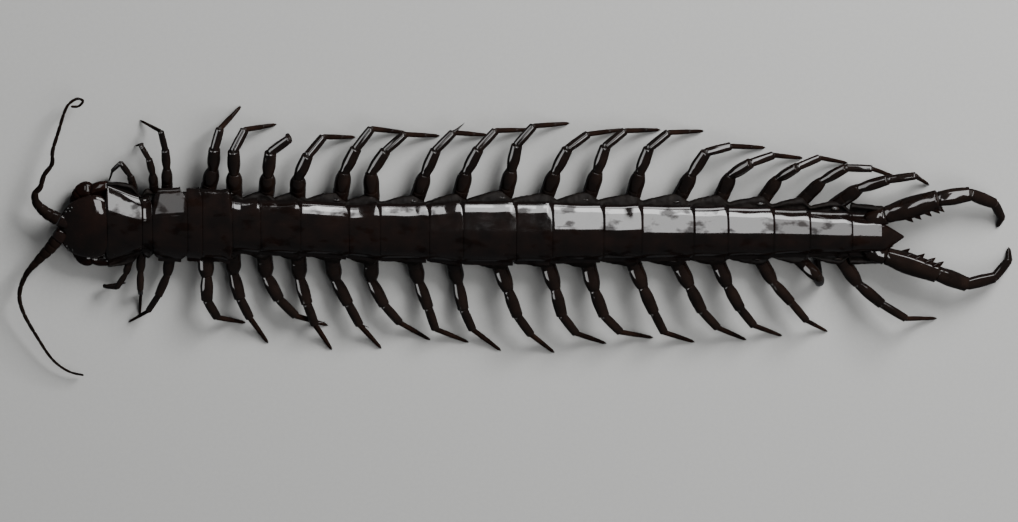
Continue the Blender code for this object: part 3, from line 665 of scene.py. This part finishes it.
def skin_outline(x):
    share_end = next((k for k, end in enumerate(ENDS) if x <= end), len(ENDS) - 1)
    front = TRUNK_FRONT if share_end == 0 else ENDS[share_end - 1]
    share = min((x - front) / (ENDS[share_end] - front), 1.0)
    tucked = PLATE_STEP * (1 - ease(share / 0.5))
    top = smooth_at(BACK_HEIGHT, x) - 1.3
    plate = smooth_at(PLATE_HALF, x) - 0.6 * tucked
    margin = smooth_at(BACK_HEIGHT, x) - MARGIN_DROP - 0.5 * tucked
    flank = smooth_at(FLANK_HALF, x) - NOTCH_DEPTH * (1 - lobe(x))
    sternite = STERNITE_SHARE * flank
    return (
        (0.0, top), (0.5 * plate, top - 0.4), (0.85 * plate, margin + 0.7), (plate - 0.75, margin - 0.25),
        (plate - 0.50, margin - 0.95), (plate + 0.40 * (flank - plate), margin - 1.45),
        (plate + 0.72 * (flank - plate), FLANK_HEIGHT + 0.9), (flank - 0.05, FLANK_HEIGHT + 0.1),
        (flank - 0.25, FLANK_HEIGHT - 0.8), (flank - 1.0, 3.6), (sternite + 0.9, 2.75),
        (sternite, BELLY + 0.25), (0.5 * sternite, BELLY + 0.15), (0.0, BELLY + 0.15),
    )


def smooth_line(points, count):
    line = route([Vector((y, z, 0.0)) for y, z in points], 0.5)
    lengths = running_lengths(line)
    found = []
    k = 0
    for n in range(count):
        goal = lengths[-1] * n / (count - 1)
        while k < len(line) - 2 and lengths[k + 1] < goal:
            k += 1
        t = (goal - lengths[k]) / max(lengths[k + 1] - lengths[k], 1e-6)
        p = line[k].lerp(line[k + 1], clamp(t))
        found.append((p.x, p.y))
    return found


def build_flanks():
    skin = Skin()
    rows = []
    count = 50
    steps = 640
    for n in range(steps):
        x = TRUNK_FRONT + 0.4 + (TRUNK_END - TRUNK_FRONT - 0.5) * n / (steps - 1)
        half = smooth_line(skin_outline(x), count)
        ring = []
        for side in (1.0, -1.0):
            arc = []
            for k, (y, z) in enumerate(half):
                before, after = half[max(k - 1, 0)], half[min(k + 1, count - 1)]
                dy, dz = after[0] - before[0], after[1] - before[1]
                size = math.hypot(dy, dz) or 1.0
                out = (-dz / size, dy / size)
                open_part = ease((k - 13) / 5.0) * ease((count - 8 - k) / 5.0)
                fold = 1 - abs(wander(x * 1.1 + side * 40, k * 0.55, side * 9.0, 1.9)) * 2.4
                crease = 1 - abs(wander(x * 0.35, k * 0.9 + side * 30, 4.0, 1.7)) * 2.6
                push = open_part * (0.16 * max(fold, 0.0) + 0.10 * max(crease, 0.0) - 0.16)
                push += 0.22 * wander(x, k * 0.6, side * 5.0, 4.0) * open_part
                arc.append((x, middle(x) + side * (y + out[0] * push), z + out[1] * push))
            ring += arc if side > 0 else arc[-2:0:-1]
        rows.append(ring)
    skin.grid(rows, closed=True)
    nodes = [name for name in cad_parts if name.startswith("trunk_")]
    return skin.make("flank_skin", FLANKS, "trunk_chitin", nodes)


# Belly plates

def build_belly_plates():
    skin = Skin()
    front = TRUNK_FRONT
    for number, end in enumerate(ENDS, 1):
        rows = []
        for n in range(26):
            share = n / 25
            row = []
            for k in range(41):
                u = -1 + 2 * k / 40
                x = front + 0.35 + (end - front - 0.5) * share - 0.5 * abs(u) ** 6 * (share - 0.5)
                at = clamp(x, TRUNK_FRONT, TRUNK_END)
                flank = smooth_at(FLANK_HALF, at) - NOTCH_DEPTH * (1 - lobe(at))
                wide = 0.90 * STERNITE_SHARE * smooth_at(FLANK_HALF, at)
                wide *= 1 - 0.10 * abs(2 * share - 1) ** 3
                wide = min(wide, flank - 2.2)
                if number == 21:
                    wide *= 1 - 0.35 * share
                rim = max(abs(u) ** 10, abs(2 * share - 1) ** 14)
                z = BELLY - 0.10 + 0.55 * rim
                z += 0.12 * bump(abs(u), 0.38, 0.022) * (1 - rim)
                z += 0.04 * wander(x, u * wide, number * 3.0, 3.0)
                row.append((x, middle(at) + u * wide, z))
            rows.append(row)
        skin.grid(rows)
        front = end
    return skin.make("belly_plates", BELLY_PLATES, "trunk_chitin")


# Coxae, spiracles and the legs

def add_tube(skin, centres, ways, widths, sides, flat=1.0, floor=False):
    rows = []
    for centre, way, radius in zip(centres, ways, widths):
        ring = ring_round(centre, way, radius, radius * flat, sides)
        if floor:
            for point in ring:
                point.z = max(point.z, 0.0)
        rows.append(ring)
    skin.grid(rows, closed=True)


def add_shaped(skin, root, way, shape, sides, flat=1.0, length=1.0, girth=1.0, floor=False):
    """A round form along one line. Its shape is a row of (place, radius) pairs."""
    centres = [root + way * (s * length) for s, r in shape]
    add_tube(skin, centres, [way] * len(shape), [girth * r for s, r in shape], sides, flat, floor)


def add_ball(skin, centre, way, radius, bands, sides, floor=False):
    turns = [math.pi * (k + 0.5) / bands for k in range(bands)]
    centres = [centre - way * (radius * math.cos(t)) for t in turns]
    add_tube(skin, centres, [way] * bands, [radius * math.sin(t) for t in turns], sides, floor=floor)


def build_coxae():
    skin = Skin()
    for side in SIDES:
        for number in range(1, LEG_PAIRS + 1):
            reach = coxa_reach(side, number)
            shape = (
                (-2.5, 0.94), (-1.2, 0.98), (0.0, 1.0), (reach - 0.6, 1.0), (reach - 0.2, 0.995),
                (reach + 0.10, 0.985), (reach + 0.16, 0.93), (reach + 0.10, 0.80),
            )
            girth = COXA_RADIUS * LEG_GIRTH[number - 1]
            add_shaped(skin, leg_root(side, number), coxa_way(side, number), shape, 28, girth=girth)
    return skin.make("leg_bases", LEGS, "leg_chitin")


def build_spiracles():
    # Each spiracle opening is a raised disc in the darkest cuticle: painted shade in place of the hollow of
    # the hole.
    rims, hole_shade = Skin(), Skin()
    for side in SIDES:
        for number in SPIRACLE_LEGS:
            x = LEG_X[side][number - 1] - 1.2
            flank = smooth_at(FLANK_HALF, x) - NOTCH_DEPTH * (1 - lobe(x))
            plate = smooth_at(PLATE_HALF, x)
            y = middle(x) + sign_of(side) * (plate + 0.52 * (flank - plate))
            centre = Vector((x, y, 6.9))
            out = Vector((0.0, 0.75 * sign_of(side), 0.66)).normalized()
            along = Vector((1.0, 0.0, 0.0))
            up = out.cross(along)
            for skin, size, lift in ((rims, 1.0, 0.0), (hole_shade, 0.62, 0.06)):
                rows = []
                for share, rise in ((1.25, -0.30), (1.0, 0.05), (0.82, 0.14), (0.60, 0.06), (0.05, -0.10)):
                    ring = []
                    for k in range(24):
                        turn = math.tau * k / 24
                        ring.append(
                            centre + out * (rise * size + lift)
                            + along * (1.15 * size * share * math.cos(turn))
                            + up * (0.55 * size * share * math.sin(turn))
                        )
                    rows.append(ring)
                skin.grid(rows, closed=True)
    rims.make("spiracle_rims", JOINTS, "trunk_chitin")
    hole_shade.make("spiracle_openings", EYE, "trunk_chitin")


def add_podomere(skin, a, b, widths, sides, size, first=False, last=False):
    """One hard segment of a limb: narrow where it enters the one before, and rimmed at its end."""
    way = (b - a).normalized()
    long = (b - a).length
    near, belly, far = (w * size for w in widths)
    if first:
        shape = (
            (-0.9 / long, 0.80 * near), (-0.7 / long, 0.93 * near), (-0.3 / long, 0.965 * near),
            (0.0, 0.99 * near), (0.08, near), (0.20, 0.5 * near + 0.5 * belly), (0.34, belly),
            (0.46, 0.97 * belly + 0.03 * far),
            (0.58, 0.85 * belly + 0.15 * far), (0.70, 0.56 * belly + 0.44 * far),
            (0.80, 0.26 * belly + 0.74 * far), (0.87, far), (0.92, 0.97 * far), (0.96, 0.92 * far),
            (0.99, 0.87 * far), (1.01, 0.82 * far), (1.01, 0.62 * far),
        )
    elif last:
        shape = (
            (-0.02, 0.5 * near), (0.0, 0.8 * near), (0.04, near), (0.2, belly), (0.55, 0.5 * (belly + far)),
            (0.78, far), (0.86, 0.62 * far), (0.87, 0.35 * far),
        )
    else:
        lip = min(0.30 / long, 0.06)
        shape = (
            (-0.5 * lip, 0.62 * near), (-0.2 * lip, 0.88 * near), (0.3 * lip, 0.96 * near), (1.0 * lip, near),
            (0.10, 0.90 * near + 0.10 * belly), (0.18, 0.62 * near + 0.38 * belly),
            (0.27, 0.28 * near + 0.72 * belly), (0.36, 0.06 * near + 0.94 * belly), (0.45, belly),
            (0.55, 0.92 * belly + 0.08 * far), (0.65, 0.72 * belly + 0.28 * far),
            (0.75, 0.42 * belly + 0.58 * far), (0.84, 0.16 * belly + 0.84 * far), (0.91, far),
            (1 - 1.6 * lip, far * 0.995), (1 - 1.0 * lip, far * 0.99), (1 - 0.4 * lip, far * 0.97),
            (1.0, far * 0.90), (1.0 + 0.2 * lip, far * 0.80), (1.0, far * 0.62),
        )
    add_shaped(skin, a, way, shape, sides, 0.97, length=long, floor=True)


def add_membrane(skin, joint, before, after, radius):
    """The soft ball inside a joint."""
    add_ball(skin, joint, (after - before).normalized(), radius, 9, 16, floor=True)


def add_spur(skin, foot, tip, radius, bend=0.0, sides=10):
    """A slightly curved thorn."""
    rows = []
    along = tip - foot
    sag = Vector((0.0, 0.0, -bend))
    for share, wide in ((0.0, 1.0), (0.2, 0.86), (0.45, 0.64), (0.7, 0.40), (0.9, 0.18), (1.0, 0.03)):
        centre = foot + along * share + sag * (share * share)
        rows.append(ring_round(centre, along, radius * wide, radius * wide, sides))
    for row in rows:
        for point in row:
            point.z = max(point.z, 0.0)
    skin.grid(rows, closed=True)


LONG_SPURS = {("right", 10): (4.0, 41.0, 0.60), ("left", 7): (2.4, 8.0, 0.3), ("left", 8): (2.4, -20.0, 0.3)}


def build_leg(side, number, claws, spurs):
    """One leg. Gives the pieces that may catch the side window."""
    joints = leg_joints(side, number)
    size = LEG_GIRTH[number - 1]
    base, skin, feet, soft = Skin(), Skin(), Skin(), Skin()
    for k, widths in enumerate(LEG_WIDTHS):
        piece = (base, skin, skin, feet, feet)[k]
        sides = 26 if k < 3 else 18
        add_podomere(piece, joints[k], joints[k + 1], widths, sides, size, k == 0, k == 4)
    for k in range(1, 5):
        radius = 0.80 * min(LEG_WIDTHS[k - 1][2], LEG_WIDTHS[k][0] * 1.1) * size
        add_membrane(soft, joints[k], joints[k - 1], joints[k + 1], radius)
    root_way = (joints[1] - joints[0]).normalized()
    add_membrane(soft, joints[0] - root_way * 0.3, joints[0], joints[1], 1.65 * size)
    node = f"leg_{side}_{number:02d}"
    lit = [skin.make(f"{node}_segments", LEGS, "leg_chitin", (node,))]
    upper = base.make(f"{node}_prefemur", LEGS, "leg_chitin")
    if side == "left":
        lit.append(upper)
    feet.make(f"{node}_tarsi", TARSI, "leg_chitin")
    soft.make(f"{node}_joints", JOINTS, "leg_chitin")
    a, b = joints[4], joints[5]
    way = b - a
    add_spur(claws, a + way * 0.78, b, 0.36 * size, -0.04)
    across = way.normalized().cross(Vector((0, 0, 1))).normalized()
    for sense in (1, -1):
        foot = a + way * 0.84 + across * (0.18 * sense * size)
        tip = foot + way * 0.10 + across * (0.22 * sense) - Vector((0, 0, 0.10))
        add_spur(claws, foot, tip, 0.10 * size)
    tibia = (joints[3] - joints[2]).normalized()
    under = tibia.cross(Vector((0, 0, 1)).cross(tibia)).normalized() * -1.0
    for joint, reach, radius in ((joints[3], 0.9, 1.0), (joints[4], 0.6, 0.55)):
        foot = joint - tibia * 0.3 * size + under * (radius * size) * 0.8
        tip = foot + (tibia * 0.8 - Vector((0, 0, 0.45))) * reach * size
        add_spur(spurs, foot, tip, 0.20 * size)
    if (side, number) in LONG_SPURS:
        reach, bearing, thick = LONG_SPURS[(side, number)]
        foot = joints[3] - tibia * 0.4
        add_spur(spurs, foot, foot + seen_direction(bearing, -5.0) * (reach + 1.2), thick)
    return lit


def build_legs():
    claws, spurs = Skin(), Skin()
    lit = []
    for side in SIDES:
        for number in range(1, LEG_PAIRS + 1):
            lit += build_leg(side, number, claws, spurs)
    claws.make("leg_claws", CLAWS, "leg_chitin")
    spurs.make("leg_spurs", CLAWS, "leg_chitin")
    return lit


def build_ultimate_legs():
    claws = Skin()
    lit = []
    for side in SIDES:
        joints = ultimate_joints(side)
        skin, soft, thorns = Skin(), Skin(), Skin()
        for k, widths in enumerate(ULTIMATE_WIDTHS):
            add_podomere(skin, joints[k], joints[k + 1], widths, 40 if k < 3 else 28, 1.0, last=k == 4)
        for k in range(1, 5):
            radius = 0.84 * min(ULTIMATE_WIDTHS[k - 1][2], ULTIMATE_WIDTHS[k][0] * 1.1)
            add_membrane(soft, joints[k], joints[k - 1], joints[k + 1], radius)
        first = (joints[1] - joints[0]).normalized()
        add_membrane(soft, joints[0] - first * 0.2, joints[0], joints[1], 2.4)
        node = f"ultimate_leg_{side}"
        made = skin.make(f"{node}_segments", LEGS, "ultimate_leg_chitin", (node,))
        if side == "right":
            lit.append(made)
        soft.make(f"{node}_joints", JOINTS, "ultimate_leg_chitin")
        a, b = joints[0], joints[1]
        inner = Vector((0, 0, 1)).cross(first) * -sign_of(side)
        inner.normalize()
        up = first.cross(inner) * -sign_of(side)

        def thorn_way(turn):
            return inner * math.cos(math.radians(turn)) + up * math.sin(math.radians(turn))

        rows = [(22.0, share, 1.0) for share in SPINE_ROWS[0]]
        rows += [(-28.0, share, 1.0) for share in SPINE_ROWS[1]]
        rows += [(-62.0, 0.40, 0.8), (-62.0, 0.64, 0.8)]
        for turn, share, grow in rows:
            out = thorn_way(turn)
            width = ULTIMATE_WIDTHS[0][1] * (1 - 0.35 * (share - 0.45) ** 2)
            foot = a.lerp(b, share) + out * (width - 1.2)
            tip = foot + (out * 0.90 + first * 0.60).normalized() * 3.0 * grow
            add_spur(thorns, foot, tip, 1.25 * grow, 0.0, 14)
        out = thorn_way(5.0)
        foot = a.lerp(b, 0.93) + out * 2.1
        add_spur(thorns, foot, foot + (out * 0.90 + first * 0.60).normalized() * 3.2, 1.2, 0.0, 14)
        for turn, share in ((18.0, 0.955), (-12.0, 0.965)):
            out = thorn_way(turn)
            foot = a.lerp(b, share) + out * 2.5
            add_spur(thorns, foot, foot + (out * 0.75 + first * 0.6) * 1.6, 0.40, 0.0, 12)
        thorns.make(f"{node}_spines", CLAWS, "ultimate_leg_chitin")
        a, b = joints[4], joints[5]
        add_spur(claws, a.lerp(b, 0.74), b, 0.56, -0.10, 16)
    claws.make("ultimate_claws", CLAWS, "ultimate_leg_chitin")
    return lit


# Tail end: coxopleura, their processes and the last plate's point

def build_tail():
    skin = Skin()
    for side in SIDES:
        root = ultimate_root(side)
        way = seen_direction(ULTIMATE_BEARINGS[side][0], ULTIMATE_RISE[0])
        add_shaped(skin, root, way, COXOPLEURA, 36, 0.98)
        inward = Vector((0.0, -sign_of(side), 0.0))
        foot = root - way * 0.8 + inward * 2.0 + Vector((0, 0, -1.3))
        add_spur(skin, foot, foot + Vector((3.6, -0.3 * sign_of(side), -0.4)), 0.9, 0.0, 14)
    skin.make("coxopleura", LEGS, "trunk_chitin")
    point = Skin()
    rows = []
    stations = [TAIL_POINT[0][0] + (TAIL_POINT[-1][0] - TAIL_POINT[0][0]) * k / 22 for k in range(23)]
    for x in stations:
        half, top, under = (smooth_at(TAIL_POINT, x, c) for c in (1, 2, 3))
        ring = []
        for k in range(32):
            turn = math.tau * k / 32
            wide = math.copysign(abs(math.cos(turn)) ** 0.8, math.cos(turn))
            high = math.sin(turn)
            edge = under + 0.35 * (top - under)
            z = edge + (top - edge) * high if high > 0 else edge + (edge - under) * high
            z -= 0.10 * bump(wide, 0.0, 0.10) * (high > 0)
            ring.append((x, middle(x) + half * wide, z))
        rows.append(ring)
    point.grid(rows, closed=True)
    point.make("tail_point", BACK, "trunk_chitin")


# Head

def build_head():
    skin = Skin()
    rows = []
    steps = 96
    for n in range(steps):
        x = HEAD[0][0] + (HEAD[-1][0] - HEAD[0][0]) * (n / (steps - 1)) ** 1.25
        half, top = smooth_at(HEAD, x), smooth_at(HEAD, x, 2)
        share = (x - HEAD[0][0]) / (HEAD[-1][0] - HEAD[0][0])
        under = max(HEAD_UNDERSIDE, HEAD_MARGIN - 0.45 * half)
        ring = []
        for k in range(112):
            turn = math.tau * k / 112
            cross, lift = math.cos(turn), math.sin(turn)
            if lift >= 0:
                u = math.copysign(abs(cross) ** 0.75, cross)
                z = HEAD_MARGIN + (top - HEAD_MARGIN) * (1 - abs(u) ** 2.35) ** 0.62
                z -= 0.04 * bump(abs(u), 0.95, 0.02) * ease((share - 0.15) / 0.1)
                z -= 0.07 * bump(abs(u), 0.30 + 0.25 * (1 - share), 0.014) * ease((share - 0.70) / 0.08)
                z += 0.05 * wander(x, u * half, 3.0, 3.5) + 0.02 * wander(x, u * half, 9.0, 1.0)
            else:
                u = cross
                z = HEAD_MARGIN - (HEAD_MARGIN - under) * min(1.0, (-lift) ** 0.6)
            ring.append((x, middle(x) + u * half, z))
        rows.append(ring)
    last = rows[-1]
    for push, sink in ((0.08, 0.12), (0.04, 0.30), (-0.3, 0.55)):
        rows.append([(x + push, y, z - sink) for x, y, z in last])
    skin.grid(rows, closed=True)
    skin.make("head_shield", HEAD_SHIELD, "head_chitin", ("head",))
    eyes = Skin()
    sockets = Skin()
    for side in SIDES:
        for x, half in EYES:
            height = smooth_at(HEAD, x, 2) - 0.55 * (smooth_at(HEAD, x, 2) - HEAD_MARGIN)
            centre = Vector((x, middle(x) + sign_of(side) * half, height))
            way = Vector((-0.35, 0.7 * sign_of(side), 0.62)).normalized()
            add_ball(eyes, centre, way, EYE_RADIUS, 12, 20)
        line = route([Vector(p) for p in ANTENNA_ROUTE[side]], 1.0)
        way = (line[1] - line[0]).normalized()
        root = line[0] - way * GAP
        shape = ((-3.4, 2.3), (-1.2, 2.3), (-0.7, 2.25), (-0.35, 2.28), (-0.1, 2.2), (0.0, 2.0), (-0.1, 1.6))
        add_shaped(sockets, root, way, shape, 28)
    eyes.make("ocelli", EYE, "head_chitin")
    sockets.make("antenna_sockets", HEAD_SHIELD, "head_chitin")


def build_fang_plate():
    skin = Skin()
    rows = []
    steps = 30
    for n in range(steps):
        x = FANG_PLATE[0][0] + (FANG_PLATE[-1][0] - FANG_PLATE[0][0]) * n / (steps - 1)
        half = smooth_at(FANG_PLATE, x)
        outline = (
            (0.0, 4.6), (0.45 * half, 4.65), (0.74 * half, 5.6), (0.84 * half, 6.55), (0.93 * half, 6.3),
            (half, 4.8), (0.90 * half, 2.9), (0.68 * half, BELLY + 0.05), (0.3 * half, BELLY),
            (0.0, BELLY + 0.12),
        )
        line = smooth_line(outline, 44)
        shrink = 0.35 * (1 - ease(n / 4)) + 0.15 * (1 - ease((steps - 1 - n) / 4))
        line = [(y * (1 - 0.04 * shrink), z + shrink * (4.2 - z) * 0.25) for y, z in line]
        right = [(x, middle(x) + y, z) for y, z in line]
        left = [(x, middle(x) - y, z) for y, z in line[-2:0:-1]]
        rows.append(right + left)
    skin.grid(rows, closed=True)
    skin.make("forcipule_plate", FANGS, "forcipule_chitin", ("coxosternum",))
    teeth = Skin()
    front = FANG_PLATE[0][0]
    for side in SIDES:
        base = Vector((front + 0.4, middle(front) + sign_of(side) * 2.1, 3.2))
        shape = ((0.6, 1.75), (0.0, 1.8), (-0.5, 1.7), (-0.85, 1.6), (-0.95, 1.3))
        way = Vector((-1, 0, 0))
        rows = [ring_round(base - way * s, way, r, 0.55 * r / 1.8 + 0.1, 28) for s, r in shape]
        teeth.grid(rows, closed=True)
        for number in range(4):
            y = middle(front) + sign_of(side) * (0.75 + 0.85 * number)
            foot = Vector((front - 0.2, y, 3.2))
            tip = foot + Vector((-1.5 + 0.12 * number, 0.10 * sign_of(side), 0))
            add_spur(teeth, foot, tip, 0.46, 0.0, 14)
    teeth.make("tooth_plates", CLAWS, "forcipule_chitin")


def build_forcipules():
    for side in SIDES:
        places = [Vector((x, middle(-131.0) + sign_of(side) * y, z)) for x, y, z, w, h in FANG]
        line = route(places, 0.22)
        lengths = running_lengths(places)
        table = [(s, w, h) for s, (x, y, z, w, h) in zip(lengths, FANG)]
        rows, tips = [], []
        for k, (point, run) in enumerate(zip(line, running_lengths(line))):
            at = min(run, lengths[-1])
            wide, high = smooth_at(table, at, 1), smooth_at(table, at, 2)
            groove = 1 - 0.09 * bump(at, lengths[3] + 0.6, 0.22) - 0.07 * bump(at, lengths[4] + 0.4, 0.16)
            wide, high = max(wide, 0.06) * groove, max(high, 0.06) * groove
            ring = ring_round(point, heading(line, k), wide, high, 36)
            (rows if at < lengths[5] else tips).append(ring)
        tips.insert(0, rows[-1])
        body, fang = Skin(), Skin()
        body.grid(rows, closed=True)
        fang.grid(tips, closed=True)
        body.make(f"forcipule_{side}_base", FANGS, "forcipule_chitin", (f"forcipule_{side}",))
        fang.make(f"forcipule_{side}_fang", CLAWS, "forcipule_chitin")


def build_mouth():
    """The second maxillae, which cover the mouth between the forcipules."""
    skin = Skin()
    for side in SIDES:
        places = [
            Vector((x, middle(MAXILLAE[0][0]) + sign_of(side) * y, z)) for x, y, z in MAXILLAE
        ]
        line = route(places, 0.35)
        rows = []
        for k, point in enumerate(line):
            share = k / (len(line) - 1)
            wide = 0.95 - 0.45 * share
            wide *= 1 - 0.16 * bump(share, 0.36, 0.03) - 0.16 * bump(share, 0.70, 0.03)
            wide *= math.sqrt(max(1 - share ** 8, 0.02))
            rows.append(ring_round(point, heading(line, k), wide, 0.62 * wide, 20))
        skin.grid(rows, closed=True)
    skin.make("maxillae", FANGS, "head_chitin")


def build_antennae():
    for side in SIDES:
        line = route([Vector(p) for p in ANTENNA_ROUTE[side]], 0.2)
        run = running_lengths(line)
        total = run[-1]
        joints = [0.0]
        while joints[-1] < total - 1.2:
            at = joints[-1]
            step = 2.3 + 1.1 * ease(at / 16.0) + 0.5 * ease((at - 20) / 30)
            joints.append(min(at + step, total))
        joints[-1] = total
        rows = []
        for k, (point, at) in enumerate(zip(line, run)):
            low = max(j for j in range(len(joints) - 1) if joints[j] <= at or j == 0)
            share = (at - joints[low]) / (joints[low + 1] - joints[low])
            radius = smooth_at(ANTENNA_RADII, at)
            swell = 1.02 + 0.05 * math.sin(math.pi * min(share * 1.05, 1.0))
            waist = 0.10 + 0.12 * ease((at - 12.0) / 15.0)
            swell -= waist * (bump(share, 0.0, 0.07) + bump(share, 1.0, 0.05)) * (low > 0 or share > 0.5)
            if total - at < 0.6:
                swell *= math.sqrt(max(1 - (1 - (total - at) / 0.6) ** 2, 0.02))
            rows.append(ring_round(point, heading(line, k), radius * swell, radius * swell, 20))
        skin = Skin()
        skin.grid(rows, closed=True)
        skin.make(f"antenna_{side}_articles", FEELERS, "antenna_chitin", (f"antenna_{side}",))


# Stage: sizes in metres

FLOOR_HALF = 3.0
WINDOW_DISTANCE = 1.6
# Each window's tilt from straight up, place along the body, (width, height) and power
WINDOWS = {
    "front_window": (40, -0.445, (0.23, 1.66), 5.6),
    "front_glow": (40, -0.06, (0.54, 1.66), 13.0),
    "third_window": (40, -0.40, (0.42, 1.66), 2.4),
    "margin_glow": (75, -0.07, (0.36, 0.74), 5.0),
    "side_glow": (34, 0.30, (0.50, 2.78), 30.4),
    "middle_window": (46, 0.25, (0.66, 2.93), 35.0),
    "rear_window": (41, 0.27, (0.70, 3.49), 38.0),
    "last_window": (41, 0.30, (0.70, 3.49), 25.0),
}


def build_stage():
    data = bpy.data.meshes.new("floor")
    corners = [(x * FLOOR_HALF, y * FLOOR_HALF, 0) for x, y in ((-1, -1), (1, -1), (1, 1), (-1, 1))]
    data.from_pydata(corners, [], [(0, 1, 2, 3)])
    floor = add_object("floor", data)
    material, shader = new_material("pale_floor", (0.50, 0.50, 0.49), 0.9)
    grain = noise_node(material, 1.2, 3.0)
    tone = ramp_node(material, grain, ((0.3, (0.49, 0.49, 0.48)), (0.7, (0.51, 0.51, 0.50))))
    material.node_tree.links.new(tone, shader.inputs["Base Color"])
    shader.inputs["Specular IOR Level"].default_value = 0.2
    data.materials.append(material)
    floor.visible_glossy = False


def light(name, place, target, size, power, role):
    """A soft light that is seen only in gloss, or only lights the matte colour and casts the shadows."""
    data = bpy.data.lights.new(name, "AREA")
    data.shape = "RECTANGLE"
    data.size, data.size_y = size
    data.energy = power
    lamp = add_object(name, data)
    lamp.location = place
    aim = Vector(target) - Vector(place)
    lamp.rotation_euler = aim.to_track_quat("-Z", "Y").to_euler()
    lamp.visible_diffuse = role == "matte"
    lamp.visible_glossy = role == "gloss"
    return lamp


def above(degrees, distance, x):
    """A place over the animal's right side, at that tilt from straight up."""
    turn = math.radians(degrees)
    return Vector((x, distance * math.sin(turn), distance * math.cos(turn)))


def build_lights():
    """Windows that show in the gloss, and two lamps that light the floor."""
    windows = {
        name: light(name, above(tilt, WINDOW_DISTANCE, x), (x, 0.0, 0.0), size, power, "gloss")
        for name, (tilt, x, size, power) in WINDOWS.items()
    }
    place = Vector((-1.35, 0.43, 0.825))
    aim = Vector((0.0, place.y, place.z))
    windows["side_window"] = light("side_window", place, aim, (1.84, 1.25), 25.0, "gloss")
    light("rim", above(81, 1.2, 0.37), (0.37, 0.0, 0.0), (0.865, 0.28), 4.5, "gloss")
    key = above(57, 1.0, 0.0) + Vector((0.55, 0.0, 0.0))
    light("key", key, (0.0, 0.0, 0.0), (0.45, 0.45), 21.3, "matte")
    light("fill", (1.25, 0.0, 1.2), (0.1, 0.0, 0.0), (2.1, 2.1), 24.5, "matte")
    world = bpy.data.worlds.new("studio")
    world.use_nodes = True
    world.node_tree.nodes["Background"].inputs["Color"].default_value = (0.9, 0.92, 0.95, 1.0)
    world.node_tree.nodes["Background"].inputs["Strength"].default_value = 0.06
    bpy.context.scene.world = world
    return windows


def show_windows(windows, plates, limbs):
    """Each window shows only on its own pieces."""
    shield = bpy.data.objects["head_shield"]
    apart = [shield, *plates.values()]
    others = [
        piece for piece in bpy.context.scene.objects
        if piece.type == "MESH" and piece not in apart and not piece.name.endswith("_prefemur")
        and not piece.name.startswith(("leg_left", "leg_bases", "antenna"))
    ]
    dark_limbs = ("leg_left_01", "leg_left_02", "leg_left_03")
    shown = {
        "side_window": [piece for piece in limbs if not piece.name.startswith(dark_limbs)],
        "front_window": [plates["back_plates_first"], *others],
        "third_window": [plates["back_plates_third"]],
        "front_glow": [plates["back_plates_first"], shield],
        "margin_glow": [plates["back_plates_fore"], plates["back_plates_waist"]],
        "side_glow": [plates["back_plates_waist"]] + [
            piece for piece in others if not piece.name.startswith("ultimate_leg_left")
        ],
        "middle_window": [plates["back_plates_middle"]],
        "rear_window": [plates["back_plates_rear"]],
        "last_window": [plates["back_plates_last"]],
    }
    for name, pieces in shown.items():
        group = bpy.data.collections.new(f"{name}_shows_on")
        for piece in pieces:
            group.objects.link(piece)
        windows[name].light_linking.receiver_collection = group


# Camera: where the picture's middle lies on the floor, at a real size for each pixel
PIXEL = 0.316
AIM_PIXEL = (509.0, 261.0)
ORIGIN_PIXEL = (500.0, 223.6)
DISTANCE = 3.578


def build_camera():
    across = (AIM_PIXEL[0] - ORIGIN_PIXEL[0]) * PIXEL
    up_down = (ORIGIN_PIXEL[1] - AIM_PIXEL[1]) * PIXEL / math.cos(VIEW_LEAN)
    target = (Vector((across, up_down, 0.0)) + PLACE) * MM
    back = Vector((0.0, math.sin(VIEW_LEAN), math.cos(VIEW_LEAN)))
    data = bpy.data.cameras.new("camera")
    data.lens = 400.0
    data.sensor_width = 36.0
    data.clip_start = 0.01
    camera = add_object("camera", data)
    up = Vector((0.0, math.cos(VIEW_LEAN), -math.sin(VIEW_LEAN)))
    right = Vector((1.0, 0.0, 0.0))
    turn = Matrix((right, up, back)).transposed().to_4x4()
    camera.matrix_world = Matrix.Translation(target + back * DISTANCE) @ turn
    bpy.context.scene.camera = camera


build_camera()
build_stage()
windows = build_lights()
plates = build_back_plates()
build_flanks()
build_belly_plates()
build_coxae()
build_spiracles()
limbs = build_legs() + build_ultimate_legs()
build_tail()
build_head()
build_fang_plate()
build_forcipules()
build_mouth()
build_antennae()

show_windows(windows, plates, limbs)
